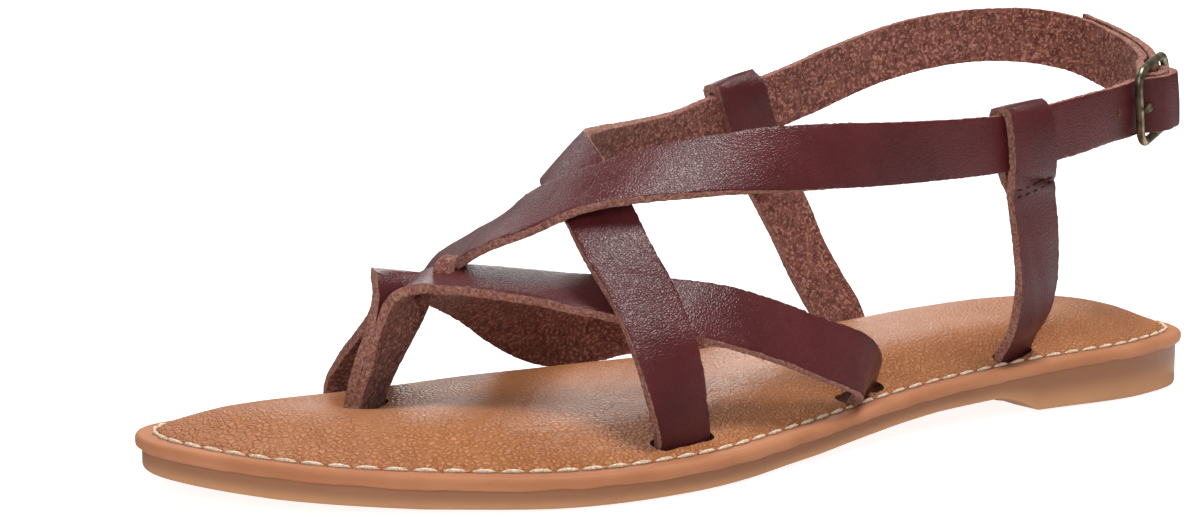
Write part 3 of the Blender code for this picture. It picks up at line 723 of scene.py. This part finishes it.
# %% Punch the hole
PUNCH = 0.95 * MM
PUNCH_DEEP = 8.0 * MM
HOLE_AT = 35.9
OUTER_SIDE = 15.0


def cut_away(piece, cutter):
    """Cut the shape of a cutter out of a piece and put the cutter away."""
    apply(piece, "BOOLEAN", object=cutter, operation="DIFFERENCE", solver="EXACT")
    bpy.data.objects.remove(cutter)


run = RUNS["long"]
off = np.abs(run.middle[:, 0] + LENGTH / 2 - HOLE_AT)
i = int(np.argmin(np.where(run.middle[:, 1] > OUTER_SIDE, off, np.inf)))
start()
bpy.ops.mesh.primitive_cylinder_add(
    vertices=24, radius=PUNCH, depth=PUNCH_DEEP, location=Vector(run.middle[i] * MM),
)
punch = newest("punch")
turned = Vector((0.0, 0.0, 1.0)).rotation_difference(Vector(run.face[i]))
for v in punch.data.vertices:
    v.co = turned @ v.co
# The walls of the hole take the darker suede, not the raw edge: painted shade inside the hole.
for f in punch.data.polygons:
    f.material_index = INSIDE
coat(punch, *STRAP_FACES)
strap_long = bpy.data.objects["strap_long"]
cut_away(strap_long, punch)
soften(strap_long)
for piece in upper_pieces:
    dress(piece, "maroon_leather", "upper")

# %% [markdown]
# ## The keepers
# Each keeper is a strap that stands in a slit and is looped over the ankle strap.  Where the outer one has
# to turn its face it is creased lengthwise, and it is pinched under the ankle strap, where it is sewn.

# %% Lay the keepers
keeper_outer = lay_strip("keeper_outer", KEEPER_CREASES, KEEPER_WIDTH)
keeper_inner = lay_strip("keeper_inner", width=KEEPER_WIDTH)
dress(keeper_outer, "maroon_leather", "keeper_outer")
dress(keeper_inner, "maroon_leather", "keeper_inner")

# %% [markdown]
# ## Finishes of the sole
# The insole is tan leather with a pebbled grain, darker between the pebbles.  The rim board is smooth.  The
# gum outsole has painted shade: it is paler at its lower edge and darker under the rim.  Painted shade also
# darkens the inside of the slits.

# %% Mix the finishes of the sole
TAN_LEATHER, shader, tree = finish("tan_leather", {"IOR": 1.42})
cloud = tree.noise(24.0, 3.0)
pebble = tree.cells(1.1, 0.7, 1.4).span(-0.02, 0.28)
fine = tree.noise(0.5, 3.0, 0.6)
grime = tree.noise(6.0, 4.0, 0.6)
tone = cloud.span(0.32, 0.7).mix((0.39, 0.14, 0.046), (0.46, 0.18, 0.064))
tone = ((1.0 - pebble) * 0.5).mix(tone, (0.25, 0.078, 0.022))
tone = (grime.span(0.5, 0.75) * 0.3).mix(tone, (0.28, 0.09, 0.028))
relief = pebble * 0.55 + fine * 0.5 + grime * 0.3
feed(shader, Base_Color=tone, Roughness=0.33 + grime * 0.18, Normal=relief.bump(0.55, 1.0))

RIM_SHEET, shader, tree = finish("rim_sheet", {"IOR": 1.2})
cloud = tree.noise(14.0, 3.0)
fleck = tree.noise(0.8, 3.0, 0.6)
tone = cloud.span(0.3, 0.7).mix((0.33, 0.13, 0.061), (0.39, 0.163, 0.082))
tone = (fleck.span(0.6, 0.8) * 0.35).mix(tone, (0.34, 0.13, 0.06))
feed(shader, Base_Color=tone, Roughness=0.42 + cloud * 0.12, Normal=fleck.bump(0.05, 0.4))

GUM, shader, tree = finish("gum_rubber", {"IOR": 1.25})
cloud = tree.noise(18.0, 3.0)
fleck = tree.noise(1.1, 3.0, 0.6)
depth = tree.node("ShaderNodeAttribute", {"attribute_name": "depth"}, output="Fac")
# Painted shade: the gum is darker towards the rim, under its overhang, and paler towards the tread.
tone = depth.span(0.05, 0.75).mix((0.43, 0.215, 0.105), (0.25, 0.112, 0.06))
tone = (cloud.span(0.35, 0.7) * 0.35).mix(tone, (0.30, 0.145, 0.075))
feed(shader, Base_Color=tone, Roughness=0.38 + cloud * 0.14, Normal=fleck.bump(0.05, 0.5))

# Painted shade for the inside of the slits: a near-black brown that stands for the shade there.
SLIT_SHADE_PAINT, shader, tree = finish("slit_painted_shade", {"IOR": 1.2})
slit_shade_mottle = tree.noise(0.8, 3.0)
tone = slit_shade_mottle.span(0.3, 0.7).mix((0.03, 0.012, 0.008), (0.085, 0.034, 0.018))
feed(shader, Base_Color=tone, Roughness=0.9 - slit_shade_mottle * 0.05)
print("sole:", [m.name for m in (TAN_LEATHER, RIM_SHEET, GUM)])

# %% [markdown]
# ## The outline of the sole
# All three layers follow one outline, seen from above.  It is cut into even stations, and every ring of a
# layer is that outline moved inward by some millimetres and lifted to the height of the rim.

# %% Draw the outline
OUTLINE = np.array([
    (0.0, -0.6), (6.7, 20.3), (26.7, 28.0), (62.4, 27.2), (100.4, 29.6), (135.1, 38.1), (162.3, 44.2),
    (189.1, 42.7), (212.7, 31.2), (233.2, 16.6), (246.2, -0.6), (250.0, -13.6), (247.1, -24.3),
    (231.3, -36.1), (208.8, -42.4), (182.2, -44.2), (154.5, -41.0), (119.5, -32.5), (84.4, -32.6),
    (49.1, -35.2), (23.0, -32.5), (5.1, -20.9),
])
STATIONS = 600
OUTLINE_POWER = 0.7
OUTLINE_DENSE = 40
OVERLAP = 3
MOVED_IN = 8.0
NARROWS_OVER = 26.0
SHORTENS_OVER = 100.0


def even_outline():
    """Even points round the outline and its length; the rows overlap at the seam, so that it has no kink."""
    rows = OUTLINE - (LENGTH / 2, 0.0)
    around = np.vstack([rows[-OVERLAP:], rows, rows[:OVERLAP + 1]])
    line = through(walked(around, OUTLINE_POWER), around, OUTLINE_DENSE)
    line = line[OVERLAP * OUTLINE_DENSE:-OVERLAP * OUTLINE_DENSE]
    reach = walked(line)
    even = np.linspace(0.0, reach[-1], STATIONS + 1)[:-1]
    return resample(even, reach, line), reach[-1]


OUTER_LINE, ROUND = even_outline()
AHEAD = unit(np.roll(OUTER_LINE, -1, axis=0) - np.roll(OUTER_LINE, 1, axis=0))
INWARD = np.c_[AHEAD[:, 1], -AHEAD[:, 0]]


def ring(inset, lift):
    """Ring of points: the outline moved inward, and further in drawn to the middle of the sole."""
    near = min(inset, MOVED_IN)
    line = OUTER_LINE + INWARD * near
    if inset > near:
        short = 1.0 - (inset - near) / SHORTENS_OVER
        narrow = 1.0 - (inset - near) / NARROWS_OVER
        centre = (line.max(axis=0) + line.min(axis=0)) / 2
        line = centre + (line - centre) * np.array([short, narrow])
    return np.c_[line, rim_top(line[:, 0]) + lift]


def face_outward():
    """Turn all faces of the edited piece outward and leave edit mode."""
    bpy.ops.mesh.select_all(action="SELECT")
    bpy.ops.mesh.normals_make_consistent(inside=False)
    mode("OBJECT")


def raise_rings(name, rings):
    """Extrude a circle ring by ring and close both ends."""
    start()
    bpy.ops.mesh.primitive_circle_add(vertices=STATIONS, radius=0.1, fill_type="NOTHING")
    piece = newest(name)
    mode("EDIT")
    shape = bmesh.from_edit_mesh(piece.data)
    station = shape.verts.layers.int.new("station")
    for i, v in enumerate(shape.verts):
        v[station] = i
        v.co = Vector(rings[0][i] * MM)
    bpy.ops.mesh.select_all(action="SELECT")
    bpy.ops.mesh.edge_face_add()
    for points in rings[1:]:
        bpy.ops.mesh.select_mode(type="EDGE")
        bpy.ops.mesh.extrude_region_move()
        shape = bmesh.from_edit_mesh(piece.data)
        station = shape.verts.layers.int["station"]
        for v in shape.verts:
            if v.select:
                v.co = Vector(points[v[station]] * MM)
        bmesh.update_edit_mesh(piece.data)
    face_outward()
    return piece


print("the outline is", round(ROUND), "mm round")

# %% [markdown]
# ## The outsole
# The outsole is one moulding with a heel block, a raised waist and a slight toe spring.  It is a stack of
# rings from the tread to the rim, and reaches a little into the rim, so that no gap opens.

# %% Raise the outsole
OUTSOLE_INSET = 1.2
RIM_THICK = 2.8
INTO_RIM = 0.35
TREAD_ROUND = 0.8
THIN = 0.5


def quarter(radius, steps):
    """Rounded edge: how far each step stands in and how far it has risen, from flat to upright."""
    angles = np.linspace(0.0, math.pi / 2, steps)
    return [(radius * (1.0 - math.sin(a)), radius * (1.0 - math.cos(a))) for a in angles]


def outsole_ring(inset, share, rise=0.0):
    """Ring of the outsole: share 0 is the tread and 1 is under the rim."""
    points = ring(OUTSOLE_INSET + inset, INTO_RIM - RIM_THICK)
    low = tread_under(points[:, 0])
    points[:, 2] = low + (points[:, 2] - low) * share + rise
    return points


outsole_rings = [outsole_ring(inset, 0.0) for inset in (32.0, 24.0, 16.0, 8.0, 3.0)]
outsole_rings += [outsole_ring(inset, 0.0, rise) for inset, rise in quarter(TREAD_ROUND, 5)]
outsole_rings += [outsole_ring(0.0, share) for share in (0.45, 0.7, 0.95, 1.0)]
outsole_rings += [outsole_ring(inset, 1.0) for inset in (2.0, 8.0, 32.0)]
outsole = raise_rings("sole_outsole", outsole_rings)
coat(outsole, GUM)
# This height share drives the gum's painted shade, darker up under the rim.
depth = outsole.data.attributes.new("depth", "FLOAT", "POINT")
for v in outsole.data.vertices:
    low = tread_under(v.co.x / MM)
    high = rim_top(v.co.x / MM) - RIM_THICK
    depth.data[v.index].value = (v.co.z / MM - low) / max(high - low, THIN)
soften(outsole)
dress(outsole, "gum", "outsole")
print("outsole:", len(outsole.data.polygons), "faces")

# %% [markdown]
# ## The rim board
# The rim board lies on the outsole and stands out by a millimetre.  Its upper edge is rounded, its lower edge
# is cut by hand and wanders a little, and a shallow recess inside takes the insole.

# %% Raise the rim
RIM_UNDER = [(30.0, -2.8), (8.0, -2.8), (1.3, -2.8), (0.5, -2.6), (0.1, -2.2), (0.0, -1.7)]
RIM_OVER = [(2.2, 0.02), (3.2, 0.0), (3.7, -0.1), (3.8, -0.9), (8.0, -1.0), (30.0, -1.0)]
RIM_ROUND = 1.1
HAND_CUT = 0.22
NICK_LONG = 9

rim_levels = RIM_UNDER + [(rise, -inset) for inset, rise in quarter(RIM_ROUND, 6)] + RIM_OVER
rim_seed = np.random.default_rng(5)
blade = np.hanning(NICK_LONG) / np.hanning(NICK_LONG).sum()
nicks = np.convolve(np.tile(rim_seed.normal(0.0, 1.0, STATIONS), 3), blade, "same")
nicks = nicks[STATIONS:2 * STATIONS]


def rim_ring(inset, lift):
    """Ring of the rim; the nicks of the blade grow towards its lower edge."""
    points = ring(inset, lift)
    points[:, 2] += HAND_CUT * nicks * min(1.0, max(0.0, -lift / RIM_THICK)) ** 2
    return points


rim = raise_rings("sole_rim", [rim_ring(*level) for level in rim_levels])
coat(rim, RIM_SHEET)
soften(rim)
dress(rim, "tan_sheet", "midsole")
print("rim:", len(rim.data.polygons), "faces")

# %% [markdown]
# ## The padded insole
# Foam under thin leather is held down by the stitches along its edge and swells between them.  Further in it
# is nearly flat, with shallow hollows where the foot presses and where the strap ends pull it down.

# %% Shape the padding
PAD = [
    (3.75, -0.7), (3.8, -0.1), (4.1, 0.35), (4.7, 0.75), (5.5, 1.25), (6.6, 1.8), (8.0, 2.4), (9.5, 3.2),
    (11.0, 4.0), (13.0, 4.95), (15.0, 5.65), (18.0, 6.3), (21.0, 6.65), (24.0, 6.8), (26.0, 6.82),
]
HOLLOWS = table("along across long wide deep", [
    (204.0, -11.0, 12.0, 9.0, 2.3), (186.0, -6.0, 9.0, 16.0, 0.8), (168.0, 6.0, 14.0, 12.0, -0.5),
    (111.0, 26.0, 10.0, 6.0, 1.5), (110.0, -26.0, 11.0, 7.0, 0.8), (164.0, 36.0, 10.0, 6.0, 0.7),
    (196.6, -34.0, 10.0, 6.0, 0.7), (62.8, 20.6, 10.0, 6.0, 0.7), (68.2, -29.0, 10.0, 6.0, 0.7),
    (38.0, -2.0, 26.0, 18.0, 0.6),
])
STITCH_PITCH = 5.04
SEAM_SHARE = 0.96
STITCHES = int(round(ROUND * SEAM_SHARE / STITCH_PITCH))
SWELL = 0.34
SWELL_AT = 4.6
SWELL_WIDE = 1.5
SWELL_LEVEL = 0.6
HOLLOW_FROM = 4.0
HOLLOW_OVER = 5.0


def sunk(points):
    """Depth of the hollows at each point."""
    depth = np.zeros(len(points))
    for h in HOLLOWS:
        along = (points[:, 0] - h.along + LENGTH / 2) / h.long
        across = (points[:, 1] - h.across) / h.wide
        depth += h.deep * np.exp(-(along ** 2 + across ** 2))
    return depth


def pad_ring(inset, lift):
    """Ring of the padding; near its edge it swells between the stitch holes."""
    points = ring(inset, lift)
    between = np.abs(np.sin(math.pi * np.arange(STATIONS) / STATIONS * STITCHES))
    near_edge = math.exp(-((inset - SWELL_AT) / SWELL_WIDE) ** 2)
    points[:, 2] += SWELL * near_edge * (between - SWELL_LEVEL)
    points[:, 2] -= sunk(points) * min(1.0, max(0.0, (inset - HOLLOW_FROM) / HOLLOW_OVER))
    return points


# %% [markdown]
# ## The middle of the insole
# The rings leave one flat cap in the middle.  It is cut into many small faces, which are then laid at the
# height of the padding.

# %% Raise the insole
CAP_CUTS = 5

insole = raise_rings("sole_insole", [pad_ring(*level) for level in PAD])
hold(insole)
mode("EDIT")
bpy.ops.mesh.select_mode(type="FACE")
bpy.ops.mesh.select_all(action="DESELECT")
shape = bmesh.from_edit_mesh(insole.data)
caps = [f for f in shape.faces if len(f.verts) == STATIONS]
cap = max(caps, key=lambda f: f.calc_center_median().z)
cap.select_set(True)
edge = set(cap.verts)
bpy.ops.mesh.quads_convert_to_tris(quad_method="BEAUTY", ngon_method="BEAUTY")
bpy.ops.mesh.subdivide(number_cuts=CAP_CUTS)
shape = bmesh.from_edit_mesh(insole.data)
inside = [v for v in shape.verts if v.select and v not in edge]
spots = np.array([v.co[:] for v in inside]) / MM
heights = rim_top(spots[:, 0]) + PAD[-1][1] - sunk(spots)
for v, height in zip(inside, heights):
    v.co.z = height * MM
bmesh.update_edit_mesh(insole.data)
mode("OBJECT")
coat(insole, TAN_LEATHER, SLIT_SHADE_PAINT)
print("insole:", len(insole.data.polygons), "faces before its slits are cut")

# %% [markdown]
# ## Slits for the strap ends
# Each strap end goes through a slit with rounded ends.  A bevelled block cuts it through the leather and into
# the foam, and the cut keeps the block's dark brown, which paints the shade inside the slit.

# %% Cut the slits
SLITS = table("along across turn long wide", [
    (110.9, 25.0, -20, 16.0, 4.6), (110.0, -26.4, 0, 15.0, 4.0), (164.2, 36.2, -8, 15.0, 4.0),
    (204.8, -12.1, -41, 13.2, 5.2), (196.6, -34.0, 20, 15.0, 4.0), (62.8, 20.7, -16, 13.2, 4.2),
    (68.2, -29.0, 0, 13.4, 4.2),
])
SLIT_MIDDLE = 4.6
SLIT_TALL = 10.0
SLIT_ROUND = 0.45
DARK = 1


def cut_slit(piece, slit):
    """Cut one slit for a strap end."""
    x = slit.along - LENGTH / 2
    middle = Vector((x, slit.across, rim_top(x) + SLIT_MIDDLE)) * MM
    start()
    bpy.ops.mesh.primitive_cube_add(size=1.0, location=middle)
    cutter = newest("slit")
    mode("EDIT")
    size = (slit.long * MM, slit.wide * MM, SLIT_TALL * MM)
    bpy.ops.transform.resize(value=size, center_override=middle)
    bpy.ops.mesh.bevel(offset=slit.wide * SLIT_ROUND * MM, segments=4, affect="EDGES")
    bpy.ops.transform.rotate(value=math.radians(slit.turn), orient_axis="Z", center_override=middle)
    mode("OBJECT")
    coat(cutter, TAN_LEATHER, SLIT_SHADE_PAINT)
    # All faces of the block are dark, so the walls of the slit show painted shade.
    for face in cutter.data.polygons:
        face.material_index = DARK
    cut_away(piece, cutter)


for slit in SLITS:
    cut_slit(insole, slit)
soften(insole, 60.0)
dress(insole, "tan_leather", "insole")
print("insole:", len(insole.data.polygons), "faces with", len(SLITS), "slits")

# %% [markdown]
# ## Stitches round the insole
# A cream thread holds the insole to the rim.  Between two holes it lies in a short arc that bows outward.
# One stitch is modelled from a small ball, stretched and bent, and copied to every place.

# %% Sew the insole
THREAD = 0.82
STITCH_LONG = 4.3
STITCH_BOW = 0.5
END_PRESS = 0.35
SEAM_INSET = 4.0
SEAM_LIFT = 0.36


def make_thread(name, light, dark):
    made, shader, tree = finish(name, {"IOR": 1.4})
    ply = tree.noise(0.35, 2.0)
    feed(
        shader, Base_Color=ply.span(0.3, 0.7).mix(dark, light), Roughness=0.7 + ply * 0.1,
        Normal=ply.bump(0.08, 0.8),
    )
    return made


CREAM_THREAD = make_thread("cream_thread", (0.72, 0.60, 0.47), (0.42, 0.31, 0.21))


def model_stitch(thread, long, thick, bow):
    """One stitch along X: a stretched ball, bowed towards -Y and pressed down at its ends."""
    start()
    bpy.ops.mesh.primitive_uv_sphere_add(segments=8, ring_count=8, radius=0.5)
    piece = newest("stitch")
    coat(piece, thread)
    mode("EDIT")
    bpy.ops.mesh.select_all(action="SELECT")
    bpy.ops.transform.rotate(value=math.pi / 2, orient_axis="Y", center_override=(0.0, 0.0, 0.0))
    bpy.ops.transform.resize(value=(long * MM, thick * MM, thick * MM), center_override=(0.0, 0.0, 0.0))
    mode("OBJECT")
    for v in piece.data.vertices:
        share = v.co.x / (long * MM / 2)
        v.co.y -= bow * MM * (1.0 - share * share)
        v.co.z -= END_PRESS * thick * MM * share * share
    return piece


def join_pieces(name, pieces, degrees):
    """Join pieces to one, under a new name, and smooth it."""
    hold(pieces[0])
    for piece in pieces:
        piece.select_set(True)
    bpy.ops.object.join()
    made = newest(name)
    soften(made, degrees)
    return made


def sew(name, one, places):
    """Copy one stitch to each place: its middle, the way along, the way inward and up."""
    copies = []
    for middle, along, inward, up in places:
        copy = one.copy()
        copy.data = one.data.copy()
        scene.collection.objects.link(copy)
        for v in copy.data.vertices:
            x, y, z = v.co
            v.co = Vector(middle * MM + along * x + inward * y + up * z)
        copies.append(copy)
    bpy.data.objects.remove(one)
    return join_pieces(name, copies, 80.0)


seam_line = ring(SEAM_INSET, SEAM_LIFT)
places = []
for k in range(STITCHES):
    at = (k + 0.5) / STITCHES * STATIONS
    i = int(at) % STATIONS
    j = (i + 1) % STATIONS
    along = unit(seam_line[j] - seam_line[i])
    middle = seam_line[i] + (seam_line[j] - seam_line[i]) * (at - int(at))
    inward = np.r_[INWARD[i], 0.0]
    up = np.cross(along, inward)
    up = up * np.sign(up[2])
    places.append((middle, along, inward, up))
seam = sew("seam_insole", model_stitch(CREAM_THREAD, STITCH_LONG, THREAD, STITCH_BOW), places)
dress(seam, "tan_leather")
print(STITCHES, "stitches round the insole")

# %% [markdown]
# ## Sewing the outer keeper
# Just under the ankle strap the two layers of the outer keeper are sewn together with two rows of short dark
# stitches.

# %% Sew the outer keeper
DARK_THREAD = make_thread("dark_thread", (0.035, 0.012, 0.012), (0.012, 0.006, 0.006))
PINCH_HEIGHT = 52.0
ROW_DROPS = (1.0, 2.4)
ROW_SHARES = (-0.7, -0.35, 0.0, 0.35, 0.7)
SHORT_STITCH = 1.9
FINE_THREAD = 0.55

run = RUNS["keeper_outer"]
rising = run.middle[:np.argmax(run.middle[:, 2]), 2]
pinch = int(np.argmin(np.abs(rising - PINCH_HEIGHT)))
places = []
for drop in ROW_DROPS:
    i = pinch - int(round(drop / STEP))
    for share in ROW_SHARES:
        middle = run.middle[i] + run.side[i] * share * KEEPER_WIDTH / 2
        middle = middle + run.face[i] * (STRAP_THICK / 2 - CAMBER * share * share)
        places.append((middle, run.side[i], run.ahead[i], run.face[i]))
keeper_seam = sew("seam_keeper", model_stitch(DARK_THREAD, SHORT_STITCH, FINE_THREAD, 0.0), places)
dress(keeper_seam, "maroon_leather")
print(len(places), "stitches on the outer keeper")

# %% [markdown]
# ## The buckle
# The frame is a bent wire with rounded corners and a middle bar.  A strip of grid rolled round a path makes
# each wire, and its old brass is dull and uneven.

# %% Roll the wires
FRAME_LONG = 20.6
FRAME_TALL = 18.8
WIRE = 1.9
PRONG_WIRE = 1.6
CORNER = 3.6
SIDES = 14
WELD = 0.00001

BRASS, shader, tree = finish("dull_brass", {"IOR": 1.5})
cloud = tree.noise(3.0, 3.0)
scratch = tree.noise(0.4, 3.0, 0.7)
tone = cloud.span(0.35, 0.68).mix((0.17, 0.132, 0.085), (0.42, 0.35, 0.23))
feed(
    shader, Base_Color=tone, Metallic=0.92 + cloud * 0.08, Roughness=0.26 + cloud * 0.22,
    Normal=scratch.bump(0.03, 0.5),
)


def roll_wire(name, path, radii, level, closed):
    """Round wire along a path, rolled from a grid; level is a direction that no part of the path follows."""
    path = np.array(path, float)
    count = len(path)
    if closed:
        steps = count
        ahead = unit(np.roll(path, -1, axis=0) - np.roll(path, 1, axis=0))
    else:
        steps = count - 1
        ahead = unit(np.gradient(path, axis=0))
    one = unit(np.cross(level, ahead))
    two = np.cross(ahead, one)
    start()
    bpy.ops.mesh.primitive_grid_add(x_subdivisions=steps, y_subdivisions=SIDES, size=1.0)
    piece = newest(name)
    for v in piece.data.vertices:
        i = int(round((v.co.x + 0.5) * steps)) % count
        angle = -2.0 * math.pi * (v.co.y + 0.5)
        v.co = Vector((path[i] + (one[i] * math.cos(angle) + two[i] * math.sin(angle)) * radii[i]) * MM)
    mode("EDIT")
    bpy.ops.mesh.select_all(action="SELECT")
    bpy.ops.mesh.remove_doubles(threshold=WELD)
    bpy.ops.mesh.fill_holes(sides=SIDES)
    face_outward()
    coat(piece, BRASS)
    return piece


# %% Bend the frame
BAR_PLACES = 9

half_run = FRAME_LONG / 2 - WIRE / 2 - CORNER
half_up = FRAME_TALL / 2 - WIRE / 2 - CORNER
around = []
for sign_run, sign_up, begin in ((1, 1, 0), (-1, 1, 90), (-1, -1, 180), (1, -1, 270)):
    for a in np.radians(np.linspace(begin, begin + 90.0, 9)):
        r = sign_run * half_run + CORNER * math.cos(a)
        u = sign_up * half_up + CORNER * math.sin(a)
        around.append(buckle_place(r, 0.0, u))
wire = roll_wire("wire", around, [WIRE / 2] * len(around), BUCKLE_OUT, True)
half = FRAME_TALL / 2 - WIRE / 2
bar_path = [buckle_place(0.0, 0.0, s) for s in np.linspace(-half, half, BAR_PLACES)]
bar = roll_wire("bar", bar_path, [BAR_WIRE / 2] * BAR_PLACES, BUCKLE_OUT, False)
buckle_frame = join_pieces("buckle_wire", [wire, bar], 60.0)
dress(buckle_frame, "dull_brass", "buckle_frame")
print("frame:", len(buckle_frame.data.polygons), "faces")

# %% [markdown]
# ## The prong
# The prong hangs on the middle bar by an eye, comes through the strap and rests on the front of the frame.

# %% Bend the prong
reach = BAR_WIRE / 2 + GAP + PRONG_WIRE / 2
angles = np.radians(range(0, 360, 15))
eye_path = [buckle_place(math.cos(a) * reach, math.sin(a) * reach) for a in angles]
eye = roll_wire("eye", eye_path, [PRONG_WIRE / 2] * len(eye_path), BUCKLE_UP, True)
rest = WIRE / 2 + GAP + PRONG_WIRE / 2
front = FRAME_LONG / 2 - WIRE / 2
tongue_rows = [(0.4 - reach, 0.2), (-4.6, 0.9), (1.2 - front, rest - 0.25), (-1.3 - front, rest)]
tongue_path = [buckle_place(*row) for row in tongue_rows]
tongue = roll_wire("tongue", tongue_path, [PRONG_WIRE / 2] * 3 + [PRONG_WIRE / 3], BUCKLE_UP, False)
buckle_prong = join_pieces("buckle_tongue", [eye, tongue], 60.0)
dress(buckle_prong, "dull_brass", "buckle_prong")
print("prong:", len(buckle_prong.data.polygons), "faces")
